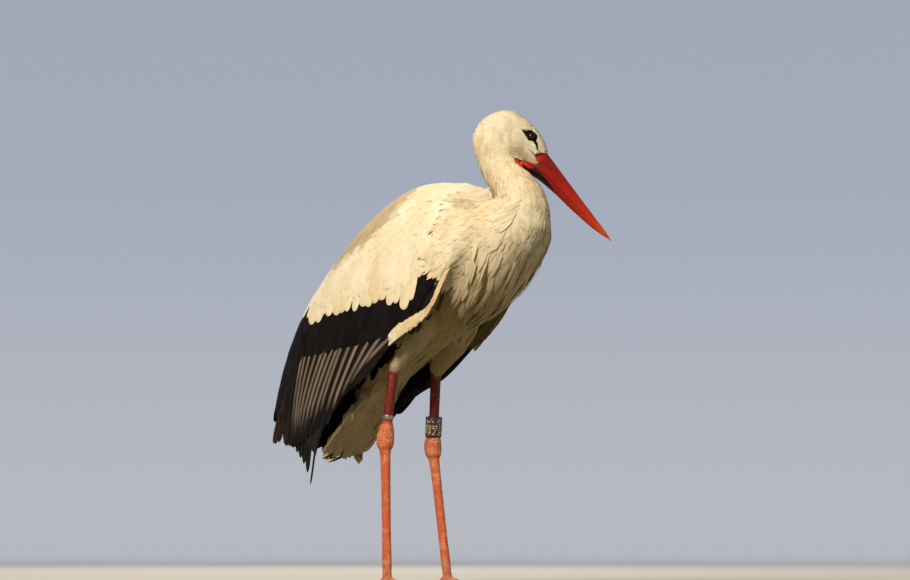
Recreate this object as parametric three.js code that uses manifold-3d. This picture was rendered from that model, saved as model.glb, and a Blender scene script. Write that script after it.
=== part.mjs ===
// A white stork standing on both feet: a still, life-size model, in millimetres.
// +X is the way the trunk faces, +Y the bird's left and +Z up. The head is turned to the left.
// The finished group is shifted so that the origin is on the floor, under the middle of the bird.
import * as THREE from "three";
import { mergeVertices } from "three/addons/utils/BufferGeometryUtils.js";
import Module from "manifold-3d";

const wasm = await Module();
wasm.setup();

// ---- Driving dimensions ----
const GAP = 0.5; // clearance left between neighbouring pieces
const LEFT = 1;
const RIGHT = -1;
const HEAD_AT = [102, 10, 704]; // middle of the skull
const HEAD_TURN = 45; // degrees to the bird's left
const BILL_PITCH = 43.4; // degrees below the horizon, along the line between the mandibles
const BILL_BASE = [41, 0, -37]; // where that line leaves the face, in the head's frame
const BILL_LENGTH = 174; // from there to the tip
const EYE_RADIUS = 7.5;
const EYE_AT = [41, 14.5, 8]; // in the head's frame
const HALF_STANCE = 60; // from the midline to each leg
const ANKLE_HEIGHT = { [LEFT]: 228, [RIGHT]: 239 };
const ANKLE_X = { [LEFT]: -111, [RIGHT]: -98 };
const FOOT_X = { [LEFT]: -80, [RIGHT]: -90 };
const FOOT_Y = 63;
const FOOT_TURN = 7; // degrees that each foot is turned outwards
const PAD_HEIGHT = 13; // middle of the joint where the toes meet
const TOES = [
  // name, length, radius at the root, degrees from straight ahead, outwards
  ["inner", 66, 5.2, -33],
  ["middle", 86, 5.6, -2],
  ["outer", 74, 5.2, 30],
  ["hind", 27, 4.6, 172],
];
const CLAW_LENGTH = 11;
const METAL_RING = { inner: 7.9, outer: 9.1, height: 7 };
const CODE_RING = { inner: 11.2, outer: 13.4, height: 33 };

const COLOURS = {
  plumage: 0xe9dcc0,
  coverts: 0x1b1718,
  flight: 0x4b4543,
  bill: 0xb0221a,
  leg: 0xd9583c,
  shank: 0x7c1f1a,
  claw: 0x6b5d52,
  eye: 0x16100d,
  metal: 0xb9b4aa,
  ring: 0x17161a,
};
const ROUGHNESS = { plumage: 0.9, coverts: 0.6, flight: 0.5, bill: 0.4, leg: 0.6, shank: 0.6, claw: 0.5, eye: 0.1 };

// ---- Making and joining surfaces ----

const vector = (p) => new THREE.Vector3(...p);
const radians = THREE.MathUtils.degToRad;

// Numbers that run smoothly through rows of three, one row for each station.
const smoothRun = (rows) => new THREE.CatmullRomCurve3(rows.map(vector), false, "catmullrom", 0.5);

// A closed geometry from points and faces, turned so that its faces point out.
function closedGeometry(points, faces) {
  let volume = 0;
  for (const [a, b, c] of faces) volume += points[a].dot(points[b].clone().cross(points[c]));
  const out = volume < 0 ? faces.map(([a, b, c]) => [a, c, b]) : faces;
  const geometry = new THREE.BufferGeometry().setFromPoints(points);
  return geometry.setIndex(out.flat());
}

// A tube of rounded sections through stations {at, side, up, down}. The sections stand square to the path.
// power 2 is an ellipse, less is a lens with a ridge. grow makes it fatter and longer all over.
function loft(stations, { around = 20, steps = 12, power = 2, across = [0, 1, 0], grow = 0 } = {}) {
  const path = new THREE.CatmullRomCurve3(stations.map((s) => vector(s.at)));
  const sizes = smoothRun(stations.map((s) => [s.side, s.up, s.down ?? s.up]));
  const points = [];
  const faces = [];
  const bend = (x) => Math.sign(x) * Math.abs(x) ** (2 / power);
  for (let i = 0; i <= steps; i++) {
    const along = path.getTangent(i / steps);
    const end = i === 0 ? -grow : i === steps ? grow : 0;
    const centre = path.getPoint(i / steps).addScaledVector(along, end);
    const side = vector(across).addScaledVector(along, -along.dot(vector(across))).normalize();
    const up = along.clone().cross(side);
    const size = sizes.getPoint(i / steps);
    for (let j = 0; j < around; j++) {
      const turn = (j / around) * 2 * Math.PI;
      const height = bend(Math.sin(turn));
      const reach = Math.max(0.3, height > 0 ? size.y : size.z) + grow;
      const width = Math.max(0.3, size.x) + grow;
      points.push(centre.clone().addScaledVector(side, bend(Math.cos(turn)) * width).addScaledVector(up, height * reach));
    }
    if (i > 0)
      for (let j = 0; j < around; j++) {
        const [a, b] = [(i - 1) * around + j, (i - 1) * around + ((j + 1) % around)];
        faces.push([a, b, a + around], [b, b + around, a + around]);
      }
  }
  const last = steps * around;
  points.push(path.getPoint(0).addScaledVector(path.getTangent(0), -grow));
  points.push(path.getPoint(1).addScaledVector(path.getTangent(1), grow));
  const [back, front] = [points.length - 2, points.length - 1];
  for (let j = 0; j < around; j++) {
    const next = (j + 1) % around;
    faces.push([back, next, j], [front, last + j, last + next]);
  }
  return closedGeometry(points, faces);
}

// A curved plate from a line along the bird's back to a line along its flank. Each station gives the two ends of
// its section, how square its shoulder is (1 is a straight line, 2 an ellipse), how far the middle swells
// sideways, and the plate's thickness in the middle.
function plate(stations, { steps = 16, across = 8, grow = 0, rim = 1.2 } = {}) {
  const first = smoothRun(stations.map((s) => s.top));
  const second = smoothRun(stations.map((s) => s.low));
  const shape = smoothRun(stations.map((s) => [s.square, s.swell, s.thick]));
  const face = (s, t) => {
    const { x: power, y: swell } = shape.getPoint(s);
    const [from, to] = [first.getPoint(s), second.getPoint(s)];
    const outwards = Math.sin((t * Math.PI) / 2) ** (2 / power);
    const down = 1 - Math.cos((t * Math.PI) / 2) ** (2 / power);
    return new THREE.Vector3(
      THREE.MathUtils.lerp(from.x, to.x, down),
      THREE.MathUtils.lerp(from.y, to.y, outwards) + swell * Math.sin(Math.PI * Math.sqrt(down)),
      THREE.MathUtils.lerp(from.z, to.z, down),
    );
  };
  const step = 0.01;
  const grids = [[], []];
  for (let i = 0; i <= steps; i++)
    for (let j = 0; j <= across; j++) {
      const [s, t] = [i / steps, j / across];
      const along = face(Math.min(1, s + step), t).sub(face(Math.max(0, s - step), t)).normalize();
      const over = face(s, Math.min(1, t + step)).sub(face(s, Math.max(0, t - step))).normalize();
      const normal = over.clone().cross(along).normalize();
      const fullness = Math.sqrt(Math.min(1, 5 * t, 5 * (1 - t), 6 * s, 6 * (1 - s)));
      const depth = rim + (shape.getPoint(s).z - rim) * fullness;
      const at = face(s, t)
        .addScaledVector(along, i === 0 ? -grow : i === steps ? grow : 0)
        .addScaledVector(over, j === 0 ? -grow : j === across ? grow : 0);
      grids[0].push(at.clone().addScaledVector(normal, grow));
      grids[1].push(at.addScaledVector(normal, -depth - grow));
    }
  const row = across + 1;
  const count = grids[0].length;
  const faces = [];
  for (let i = 0; i < steps; i++)
    for (let j = 0; j < across; j++) {
      const a = i * row + j;
      for (const [p, q, r] of [[a, a + 1, a + row], [a + 1, a + row + 1, a + row]])
        faces.push([p, q, r], [p + count, r + count, q + count]);
    }
  const rimFaces = (a, b) => faces.push([b, b + count, a], [a, b + count, a + count]);
  for (let i = 0; i < steps; i++) {
    rimFaces(i * row, (i + 1) * row);
    rimFaces((i + 1) * row + across, i * row + across);
  }
  for (let j = 0; j < across; j++) {
    rimFaces(j + 1, j);
    rimFaces(steps * row + j, steps * row + j + 1);
  }
  return closedGeometry(grids.flat(), faces);
}

// The same geometry on the other side of the bird.
function mirrored(geometry) {
  const points = [];
  const position = geometry.getAttribute("position");
  for (let i = 0; i < position.count; i++)
    points.push(new THREE.Vector3(position.getX(i), -position.getY(i), position.getZ(i)));
  const index = geometry.index.array;
  const faces = [];
  for (let i = 0; i < index.length; i += 3) faces.push([index[i], index[i + 1], index[i + 2]]);
  return closedGeometry(points, faces);
}

const onSide = (side, geometry) => (side === LEFT ? geometry : mirrored(geometry));

function solidOf(geometry) {
  const bare = new THREE.BufferGeometry().setAttribute("position", geometry.getAttribute("position"));
  const merged = mergeVertices(bare.setIndex(geometry.index), 1e-3);
  const vertProperties = merged.attributes.position.array;
  return new wasm.Manifold(new wasm.Mesh({ numProp: 3, vertProperties, triVerts: new Uint32Array(merged.index.array) }));
}

function geometryOf(solid) {
  const { vertProperties, triVerts } = solid.getMesh();
  const geometry = new THREE.BufferGeometry();
  geometry.setAttribute("position", new THREE.BufferAttribute(vertProperties.slice(), 3));
  return geometry.setIndex(new THREE.BufferAttribute(triVerts.slice(), 1));
}

function largestPiece(solid) {
  const largest = solid.decompose().reduce((a, b) => (b.volume() > a.volume() ? b : a));
  return geometryOf(largest.simplify(0.2));
}

// What is left of a geometry once the others are cut away.
function cut(geometry, ...others) {
  return largestPiece(others.reduce((solid, other) => solid.subtract(solidOf(other)), solidOf(geometry)));
}

function joined(...geometries) {
  return geometryOf(geometries.map(solidOf).reduce((a, b) => a.add(b)));
}

// A geometry parted in two at a plane, with a thin gap: first the piece that the normal points to.
function parted(geometry, { normal, through }) {
  const unit = vector(normal).normalize();
  const solid = solidOf(geometry);
  const height = unit.dot(vector(through));
  return [
    largestPiece(solid.trimByPlane(unit.toArray(), height + GAP / 2)),
    largestPiece(solid.trimByPlane(unit.negate().toArray(), GAP / 2 - height)),
  ];
}

// ---- Trunk, neck and head ----

const TRUNK = [
  { at: [-205, 0, 300], side: 20, up: 10, down: 7 },
  { at: [-165, 0, 345], side: 44, up: 60, down: 27 },
  { at: [-110, 0, 415], side: 72, up: 128, down: 62 },
  { at: [-40, 0, 487], side: 84, up: 144, down: 94 },
  { at: [40, 0, 533], side: 86, up: 122, down: 98 },
  { at: [105, 0, 556], side: 80, up: 84, down: 87 },
  { at: [150, 0, 565], side: 64, up: 46, down: 60 },
  { at: [182, 0, 568], side: 24, up: 14, down: 20 },
];
const NECK = [
  { at: [118, 0, 530], side: 46, up: 44 },
  { at: [150, 0, 570], side: 46, up: 44 },
  { at: [150, 0, 605], side: 40, up: 38 },
  { at: [124, 3, 637], side: 34, up: 33 },
  { at: [97, 5, 664], side: 32, up: 33 },
  { at: [82, 2, 692], side: 28, up: 30 },
  { at: [90, 6, 716], side: 15, up: 15 },
];
// Where the trunk ends and the neck begins, where the neck is parted, and where the head begins.
const NECK_CUTS = [
  { through: [120, 0, 627], normal: [0.5, 0, 0.87] },
  { through: [128, 0, 632], normal: [-0.55, 0, 0.84] },
  { through: [102, 10, 668], normal: [0.1, 0.1, 0.99] },
];
// In the head's frame: +X ahead, +Z up, the skull's middle at the origin.
const SKULL = [
  { at: [-50, 0, -6], side: 9, up: 9, down: 9 },
  { at: [-35, 0, -2], side: 23, up: 35, down: 27 },
  { at: [-8, 0, 1], side: 28, up: 50, down: 30 },
  { at: [17, 0, 0], side: 27, up: 44.5, down: 34 },
  { at: [39, 0, -9], side: 21.5, up: 30, down: 32 },
  { at: [57, 0, -27], side: 15.5, up: 16, down: 20 },
  { at: [63, 0, -36], side: 12, up: 11, down: 12 },
];
// In the bill's frame: +X along the line between the mandibles, from where it leaves the face.
const UPPER_BILL = [
  { at: [0, 0, 0], side: 13, up: 23 },
  { at: [26, 0, 4.5], side: 12.4, up: 22.5 },
  { at: [59, 0, 4], side: 10.4, up: 17.3 },
  { at: [93, 0, 2.2], side: 7.8, up: 12.8 },
  { at: [132, 0, 0.4], side: 5, up: 8 },
  { at: [156, 0, 0.2], side: 3.2, up: 4.6 },
  { at: [BILL_LENGTH, 0, 0], side: 0.9, up: 1 },
];
const LOWER_BILL = [
  { at: [-28, 0, -9.5], side: 14.5, down: 6 },
  { at: [-13, 0, -4.5], side: 14.2, down: 10 },
  { at: [4, 0, 0.2], side: 13.2, down: 12 },
  { at: [26, 0, 3.6], side: 11.8, down: 12 },
  { at: [59, 0, 3.2], side: 9.8, down: 11 },
  { at: [93, 0, 1.4], side: 7.5, down: 10.4 },
  { at: [132, 0, -0.4], side: 4.9, down: 7.6 },
  { at: [155, 0, -0.5], side: 3.1, down: 4.3 },
  { at: [BILL_LENGTH - 1.5, 0, -0.8], side: 0.9, down: 0.9 },
].map((station) => ({ ...station, up: 0.3 }));

function headGroup() {
  const head = new THREE.Group();
  head.position.set(...HEAD_AT);
  head.rotation.z = radians(HEAD_TURN);
  return head;
}

function inHeadFrame(geometry) {
  const head = headGroup();
  head.updateMatrix();
  return geometry.clone().applyMatrix4(head.matrix);
}

const trunk = (grow = 0) => loft(TRUNK, { around: 22, steps: 12, power: 2.1, grow });

function billPiece(stations, grow) {
  const made = loft(stations.map((s) => ({ down: 0.3, ...s })), { around: 14, steps: 11, power: 1.75, grow });
  made.rotateY(radians(BILL_PITCH));
  return made.translate(...BILL_BASE);
}

const eye = (side, grow = 0) =>
  new THREE.SphereGeometry(EYE_RADIUS + grow, 12, 7).translate(EYE_AT[0], side * EYE_AT[1], EYE_AT[2]);

// Head, neck and trunk as one shape, before it is parted.
function flesh() {
  const skull = inHeadFrame(loft(SKULL, { around: 20, steps: 11 }));
  const neck = loft(NECK, { around: 18, steps: 11 });
  return joined(skull, neck, trunk());
}

// ---- Wings and tail, given for the left side ----

const WING = [
  { top: [132, 34, 606], low: [104, 88, 524], square: 2, swell: 4, thick: 10 },
  { top: [98, 14, 631], low: [70, 98, 488], square: 2.4, swell: 4, thick: 18 },
  { top: [28, 2, 647], low: [30, 98, 425], square: 2.8, swell: 6, thick: 22 },
  { top: [-50, 1, 643], low: [-52, 96, 383], square: 3, swell: 8, thick: 22 },
  { top: [-134, 1, 609], low: [-110, 91, 338], square: 3, swell: 9, thick: 20 },
  { top: [-226, 1, 543], low: [-164, 84, 313], square: 3, swell: 9, thick: 16 },
  { top: [-305, 1, 474], low: [-213, 74, 282], square: 2.8, swell: 8, thick: 12 },
  { top: [-364, 3, 399], low: [-256, 59, 247], square: 2.5, swell: 8, thick: 10 },
  { top: [-398, 8, 325], low: [-296, 36, 210], square: 2.1, swell: 11, thick: 8 },
  { top: [-408, 14, 258], low: [-334, 12, 171], square: 1.6, swell: 16, thick: 5 },
  { top: [-405, 16, 226], low: [-340, 9, 160], square: 1.5, swell: 14, thick: 3 },
];
// Behind the longest feathers the others end at this height.
const WING_NOTCH = { ahead: -340, above: 230 };
// How much higher and further forward the tip is tucked than the stations above say.
const TIP_TUCK = { [LEFT]: 26, [RIGHT]: 0 };
// The white coverts end at the first of these planes, and the black ones, over the flight feathers, at the second.
const COVERTS_END = { through: [-60, 0, 449], normal: [0.063, 0, -1] };
const FLIGHT_START = { through: [-134, 0, 388], normal: [0.08, 0, -1] };
const TAIL = [
  { at: [-128, 0, 352], side: 26, up: 16, down: 13 },
  { at: [-176, 0, 310], side: 36, up: 11, down: 9 },
  { at: [-217, 0, 267], side: 45, up: 7, down: 6 },
  { at: [-249, 0, 233], side: 52, up: 4.5, down: 4 },
  { at: [-267, 0, 212], side: 36, up: 2, down: 2 },
];

function wing(side, grow = 0) {
  const stations = WING.map((station, i) => {
    const [x, y, z] = station.low;
    const tuck = i < WING.length - 2 ? 0 : TIP_TUCK[side];
    return { ...station, low: [x + tuck / 2, y, z + tuck] };
  });
  const notch = new THREE.BoxGeometry(200, 200, 200);
  notch.translate(WING_NOTCH.ahead - 100 - grow, 0, WING_NOTCH.above - 100 - grow);
  return onSide(side, cut(plate(stations, { grow }), notch));
}
const tail = (grow = 0) => loft(TAIL, { around: 14, steps: 6, power: 2.3, grow });

// ---- Legs ----

// The points that each leg passes through, from inside the belly to the floor.
function legPoints(side) {
  const y = side * HALF_STANCE;
  return {
    hip: [-30, side * 44, 446],
    cuff: [ANKLE_X[side] + 13, side * 54, 350],
    ankle: [ANKLE_X[side], y, ANKLE_HEIGHT[side]],
    foot: [FOOT_X[side], side * FOOT_Y, PAD_HEIGHT],
  };
}

const between = (a, b, share) => vector(a).lerp(vector(b), share).toArray();

function thigh(side, grow = 0) {
  const { hip, cuff } = legPoints(side);
  return loft(
    [
      { at: hip, side: 34, up: 40 },
      { at: between(hip, cuff, 0.45), side: 29, up: 36 },
      { at: between(hip, cuff, 0.8), side: 17, up: 21 },
      { at: cuff, side: 10, up: 12 },
    ],
    { around: 14, steps: 5, grow },
  );
}

function shank(side, grow = 0) {
  const { cuff, ankle } = legPoints(side);
  return loft(
    [
      { at: between(cuff, ankle, -0.25), side: 7.4, up: 8 },
      { at: between(cuff, ankle, 0.4), side: 7, up: 7.3 },
      { at: between(cuff, ankle, 0.7), side: 6.8, up: 7 },
      { at: between(cuff, ankle, 0.95), side: 8, up: 9 },
    ],
    { around: 10, steps: 4, grow },
  );
}

// The ankle is a knob that is deeper than it is wide, and swells behind.
function ankle(side, grow = 0) {
  const { cuff, ankle: middle, foot } = legPoints(side);
  return loft(
    [
      { at: between(middle, cuff, 0.22), side: 7.4, up: 8.5, down: 8 },
      { at: between(middle, cuff, 0.1), side: 9.3, up: 11.5, down: 10 },
      { at: middle, side: 10.6, up: 11.5, down: 12.5 },
      { at: between(middle, foot, 0.06), side: 9.6, up: 9.5, down: 12 },
      { at: between(middle, foot, 0.11), side: 7, up: 7.4, down: 9 },
    ],
    { around: 10, steps: 6, grow },
  );
}

function tarsus(side, grow = 0) {
  const { ankle: top, foot } = legPoints(side);
  return loft(
    [
      { at: between(top, foot, 0.05), side: 6.8, up: 7.5, down: 9 },
      { at: between(top, foot, 0.25), side: 6, up: 6.8, down: 7.4 },
      { at: between(top, foot, 0.6), side: 5.6, up: 6.2, down: 6.8 },
      { at: between(top, foot, 0.88), side: 6.2, up: 6.8, down: 7 },
      { at: foot, side: 8, up: 8, down: 8 },
    ],
    { around: 10, steps: 6, grow },
  );
}

const footTurn = (side) => radians(side * FOOT_TURN);

function placeAtFoot(side, geometry) {
  const { foot } = legPoints(side);
  return geometry.rotateZ(footTurn(side)).translate(foot[0], foot[1], 0);
}

function pad(side, grow = 0) {
  const made = loft(
    [
      { at: [-13, 0, 7], side: 6, up: 6 },
      { at: [-4, 0, 9], side: 10, up: 9.6 },
      { at: [8, 0, 8], side: 13, up: 8.8 },
      { at: [19, 0, 5.6], side: 13, up: 6 },
    ],
    { around: 12, steps: 5, grow },
  );
  return placeAtFoot(side, made);
}

// A toe lies along the floor, thicker at each joint.
function toe(side, [, length, radius, turn], grow = 0) {
  const joints = length > 40 ? 3 : 1;
  const stations = [];
  for (let i = 0; i <= 2 * joints; i++) {
    const share = i / (2 * joints);
    const swell = i % 2 ? 0.86 : 1;
    const r = radius * (1 - 0.32 * share) * swell;
    stations.push({ at: [6 + (length - 6) * share, 0, r * 0.82], side: r, up: r * 0.92 });
  }
  const made = loft(stations, { around: 8, steps: 2 * joints + 1, grow });
  return placeAtFoot(side, made.rotateZ(radians(side * turn)));
}

function claw(side, [, length, radius, turn]) {
  const r = radius * 0.56;
  const made = loft(
    [
      { at: [length - 3, 0, r + 1.4], side: r, up: r },
      { at: [length + CLAW_LENGTH * 0.45, 0, r + 1.4], side: r * 0.8, up: r * 0.75 },
      { at: [length + CLAW_LENGTH, 0, 1.2], side: 0.7, up: 0.6 },
    ],
    { around: 6, steps: 3 },
  );
  return placeAtFoot(side, made.rotateZ(radians(side * turn)));
}

// A short tube round a leg, square to it.
function legRing({ inner, outer, height }, at, axis) {
  const half = height / 2;
  const profile = [[inner, -half], [outer, -half], [outer, half], [inner, half], [inner, -half]];
  const made = new THREE.LatheGeometry(profile.map(([x, y]) => new THREE.Vector2(x, y)), 20);
  const turn = new THREE.Quaternion().setFromUnitVectors(new THREE.Vector3(0, 1, 0), axis.clone().normalize());
  return made.applyQuaternion(turn).translate(...at);
}

// ---- Assembly ----

const bird = new THREE.Group();

function add(name, geometry, colour, parent = bird) {
  const flat = geometry.index ? geometry.toNonIndexed() : geometry.clone();
  flat.computeVertexNormals();
  const metalness = colour === "metal" ? 1 : 0;
  const roughness = ROUGHNESS[colour] ?? 0.4;
  const mesh = new THREE.Mesh(flat, new THREE.MeshStandardMaterial({ color: COLOURS[colour], roughness, metalness }));
  mesh.name = name;
  parent.add(mesh);
  return mesh;
}

const sideName = { [LEFT]: "left", [RIGHT]: "right" };
const FLOOR_CUT = new THREE.BoxGeometry(900, 900, 100).translate(0, 0, -50);

function buildBody() {
  const clearances = [billPiece(UPPER_BILL, GAP), billPiece(LOWER_BILL, GAP), eye(LEFT, GAP), eye(RIGHT, GAP)];
  const whole = cut(flesh(), ...clearances.map(inHeadFrame), wing(LEFT, GAP), wing(RIGHT, GAP));
  const [upwards, trunkPiece] = parted(whole, NECK_CUTS[0]);
  const [more, neckLower] = parted(upwards, NECK_CUTS[1]);
  const [head, neckUpper] = parted(more, NECK_CUTS[2]);
  add("head", head, "plumage");
  add("neck_upper", neckUpper, "plumage");
  add("neck_lower", neckLower, "plumage");
  add("trunk", trunkPiece, "plumage");
  add("tail", cut(tail(), trunk(GAP), wing(LEFT, GAP), wing(RIGHT, GAP)), "plumage");
}

function buildFace() {
  const head = headGroup();
  bird.add(head);
  add("bill_upper", cut(billPiece(UPPER_BILL, 0), billPiece(LOWER_BILL, GAP)), "bill", head);
  add("bill_lower", billPiece(LOWER_BILL, 0), "bill", head);
  for (const side of [LEFT, RIGHT]) add(`eye_${sideName[side]}`, eye(side), "eye", head);
}

function buildWing(side) {
  const [below, white] = parted(wing(side), COVERTS_END);
  const [flight, black] = parted(below, FLIGHT_START);
  add(`wing_${sideName[side]}`, white, "plumage");
  add(`greater_coverts_${sideName[side]}`, black, "coverts");
  add(`flight_feathers_${sideName[side]}`, flight, "flight");
}

function buildLeg(side) {
  const name = sideName[side];
  const { cuff, ankle: middle } = legPoints(side);
  const legAxis = vector(cuff).sub(vector(middle));
  add(`thigh_${name}`, cut(thigh(side), trunk(GAP), wing(side, GAP), tail(GAP)), "plumage");
  add(`shank_${name}`, cut(shank(side), thigh(side, GAP), ankle(side, GAP)), "shank");
  add(`ankle_${name}`, ankle(side), "leg");
  add(`tarsus_${name}`, cut(tarsus(side), ankle(side, GAP), pad(side, GAP)), "leg");
  add(`foot_${name}`, cut(pad(side), FLOOR_CUT), "leg");
  const earlier = [pad(side, GAP)];
  for (const kind of TOES) {
    add(`toe_${kind[0]}_${name}`, cut(toe(side, kind), FLOOR_CUT, ...earlier), "leg");
    add(`claw_${kind[0]}_${name}`, cut(claw(side, kind), FLOOR_CUT, toe(side, kind, GAP)), "claw");
    earlier.push(toe(side, kind, GAP));
  }
  const ring = side === LEFT ? CODE_RING : METAL_RING;
  const clear = side === LEFT ? 32.5 : 34; // from the ankle's middle to the ring's
  const at = vector(middle).addScaledVector(legAxis.clone().normalize(), clear).toArray();
  add(side === LEFT ? "ring_code_left" : "ring_metal_right", legRing(ring, at, legAxis), side === LEFT ? "ring" : "metal");
}

buildBody();
buildFace();
for (const side of [LEFT, RIGHT]) {
  buildWing(side);
  buildLeg(side);
}

// The origin goes to the floor, under the middle of the bounding box.
const box = new THREE.Box3().setFromObject(bird, true);
const middle = box.getCenter(new THREE.Vector3());
const stork = new THREE.Group();
bird.position.set(-middle.x, -middle.y, -box.min.z);
stork.add(bird);

export default stork;
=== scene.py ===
"""A white stork at rest: skin, feathers, bill, eyes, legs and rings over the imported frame.

Shapes are worked out in millimetres in the bird's own frame: +X the way the trunk faces, +Y its left, +Z up,
from a point on the floor under the hips. mesh_object() turns them into the row frame, in metres.
"""

import math

import bmesh
import bpy
import numpy as np
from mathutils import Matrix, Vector
from mathutils.bvhtree import BVHTree
from mathutils.kdtree import KDTree


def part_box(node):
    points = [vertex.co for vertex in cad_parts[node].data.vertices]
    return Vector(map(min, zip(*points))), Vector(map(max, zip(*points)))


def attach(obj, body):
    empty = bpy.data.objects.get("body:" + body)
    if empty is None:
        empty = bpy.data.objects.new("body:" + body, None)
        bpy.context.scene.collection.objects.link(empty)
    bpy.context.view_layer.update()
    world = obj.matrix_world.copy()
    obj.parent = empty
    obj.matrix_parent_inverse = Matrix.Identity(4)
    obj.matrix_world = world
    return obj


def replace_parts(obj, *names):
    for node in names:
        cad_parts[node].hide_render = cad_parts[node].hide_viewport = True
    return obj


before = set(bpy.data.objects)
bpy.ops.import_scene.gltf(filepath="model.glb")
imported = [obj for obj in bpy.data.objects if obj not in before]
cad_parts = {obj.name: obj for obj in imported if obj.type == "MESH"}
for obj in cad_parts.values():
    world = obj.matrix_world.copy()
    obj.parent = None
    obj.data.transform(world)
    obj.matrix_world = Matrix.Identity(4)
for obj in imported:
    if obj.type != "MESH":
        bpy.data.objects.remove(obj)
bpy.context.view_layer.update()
rng = np.random.default_rng(7)

# ---- The bird's frame ----

MM = 0.001
SIDES = {"left": 1, "right": -1}
HEAD_AT = np.array([102.0, 10.0, 704.0])  # middle of the skull
HEAD_TURN = math.radians(45)  # to the bird's left
BILL_PITCH = math.radians(43.4)  # below the horizon
BILL_BASE = np.array([41.0, 0.0, -37.0])  # in the head's frame
BILL_LENGTH = 174.0
EYE_AT = np.array([41.0, 14.5, 8.0])  # in the head's frame, left eye
EYE_RADIUS = 7.5

HEAD_AXES = np.array(
    [
        [math.cos(HEAD_TURN), -math.sin(HEAD_TURN), 0],
        [math.sin(HEAD_TURN), math.cos(HEAD_TURN), 0],
        [0, 0, 1],
    ]
)


def middle_of(node):
    low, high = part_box(node)
    return np.array((low + high) / 2)


def from_head(points):
    return np.asarray(points, float) @ HEAD_AXES.T + HEAD_AT


def to_head(points):
    return (np.asarray(points, float) - HEAD_AT) @ HEAD_AXES


ORIGIN = middle_of("eye_left") - from_head(EYE_AT) * MM


def metres(points):
    """The bird's frame, in mm, to the row frame, in metres."""
    return np.asarray(points, float) * MM + ORIGIN


def millimetres(points):
    """The row frame, in metres, to the bird's frame, in mm."""
    return (np.asarray(points, float) - ORIGIN) / MM


BILL_AXES = np.array(
    [
        [math.cos(BILL_PITCH), 0, math.sin(BILL_PITCH)],
        [0, 1, 0],
        [-math.sin(BILL_PITCH), 0, math.cos(BILL_PITCH)],
    ]
)


def bill_to_bird(points):
    """The bill's frame, along it, to its left and above it, to the bird's frame."""
    return from_head(points @ BILL_AXES.T + BILL_BASE)


def bird_to_bill(points):
    return (to_head(points) - BILL_BASE) @ BILL_AXES


# ---- Numbers ----

HASH_PRIMES = np.array([73856093, 19349663, 83492791])


def unit(v):
    return v / np.maximum(np.linalg.norm(v, axis=-1, keepdims=True), 1e-9)


def dot(a, b):
    return (a * b).sum(-1, keepdims=True)


def smoothstep(low, high, x):
    t = np.clip((np.asarray(x, float) - low) / (high - low), 0, 1)
    return t * t * (3 - 2 * t)


def mix(a, b, share):
    share = np.asarray(share, float)
    if share.ndim:
        share = share[..., None]
    return np.asarray(a, float) * (1 - share) + np.asarray(b, float) * share


def smooth_run(rows, at):
    """Rows of numbers run smoothly from one station to the next, as at goes from 0 to 1."""
    rows = np.asarray(rows, float)
    at = np.clip(np.asarray(at, float), 0, 1) * (len(rows) - 1)
    i = np.minimum(at.astype(int), len(rows) - 2)
    t = (at - i)[..., None]
    ends = np.vstack([2 * rows[0] - rows[1], rows, 2 * rows[-1] - rows[-2]])
    a, b, c, d = (ends[i + k] for k in range(4))
    return 0.5 * (2 * b + (c - a) * t + (2 * a - 5 * b + 4 * c - d) * t**2 + (3 * b - a - 3 * c + d) * t**3)


def read_off(rows, at):
    """Columns of a table of (station, values...), read off at these stations in straight runs."""
    rows = np.array(rows, float)
    return [np.interp(at, rows[:, 0], column) for column in rows[:, 1:].T]


def full_turn(count):
    return np.linspace(0, 2 * math.pi, count, endpoint=False)


def lumps(points, size, seed=0):
    """Smooth noise from 0 to 1, with lumps about size across."""
    p = np.asarray(points, float) / size + 1000
    base = np.floor(p).astype(np.int64)
    f = p - base
    f = f * f * (3 - 2 * f)
    total = 0
    for corner in np.ndindex(2, 2, 2):
        key = (base + corner) @ HASH_PRIMES + seed * 97531
        key = (key ^ (key >> 13)) * 1274126177 & 0x7FFFFFFF
        value = (key ^ (key >> 16)) % 10007 / 10007
        total = total + value * np.prod(np.where(corner, f, 1 - f), axis=-1)
    return total


def to_segments(points, starts, ends):
    """Distance from each point to each segment, and how far along it, as (points, segments) arrays."""
    along = ends - starts
    length2 = (along**2).sum(-1)
    share = np.clip(((points[:, None] - starts) * along).sum(-1) / length2, 0, 1)
    nearest = starts + share[..., None] * along
    return np.linalg.norm(points[:, None] - nearest, axis=-1), share


# ---- Camera, floor and lights ----

CAMERA_AT = (3524.6, -3524.6, 82.7)
CAMERA_AIM = (0, 0, 475)
LENS = 123.6
BACKDROP_COLOUR = (0.30, 0.345, 0.45)
FLOOR_COLOUR = (0.50, 0.50, 0.48)
SKY_LIGHT = (1.0, 0.93, 0.82)
GROUND_LIGHT = (0.31, 0.245, 0.07)
SKY_STRENGTH = 0.42
LIGHTS_AIM = (0, 0, 430)
# Place in mm, size in m, power in W, and colour.
LIGHTS = {
    "key": ((1250, -3350, 2750), 1.1, 250, (1.0, 0.86, 0.63)),
    "fill": ((3900, 1200, 700), 2.4, 12, (1.0, 0.84, 0.50)),
    "back": ((-2300, 1800, 2300), 1.6, 55, (1.0, 0.92, 0.78)),
}


def look_at(obj, place, aim):
    obj.location = metres(place)
    obj.rotation_euler = Vector(np.subtract(aim, place)).to_track_quat("-Z", "Y").to_euler()
    bpy.context.scene.collection.objects.link(obj)


def make_camera():
    data = bpy.data.cameras.new("camera")
    data.lens = LENS
    data.sensor_width = 36
    data.clip_end = 50
    camera = bpy.data.objects.new("camera", data)
    look_at(camera, CAMERA_AT, CAMERA_AIM)
    bpy.context.scene.camera = camera


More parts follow.
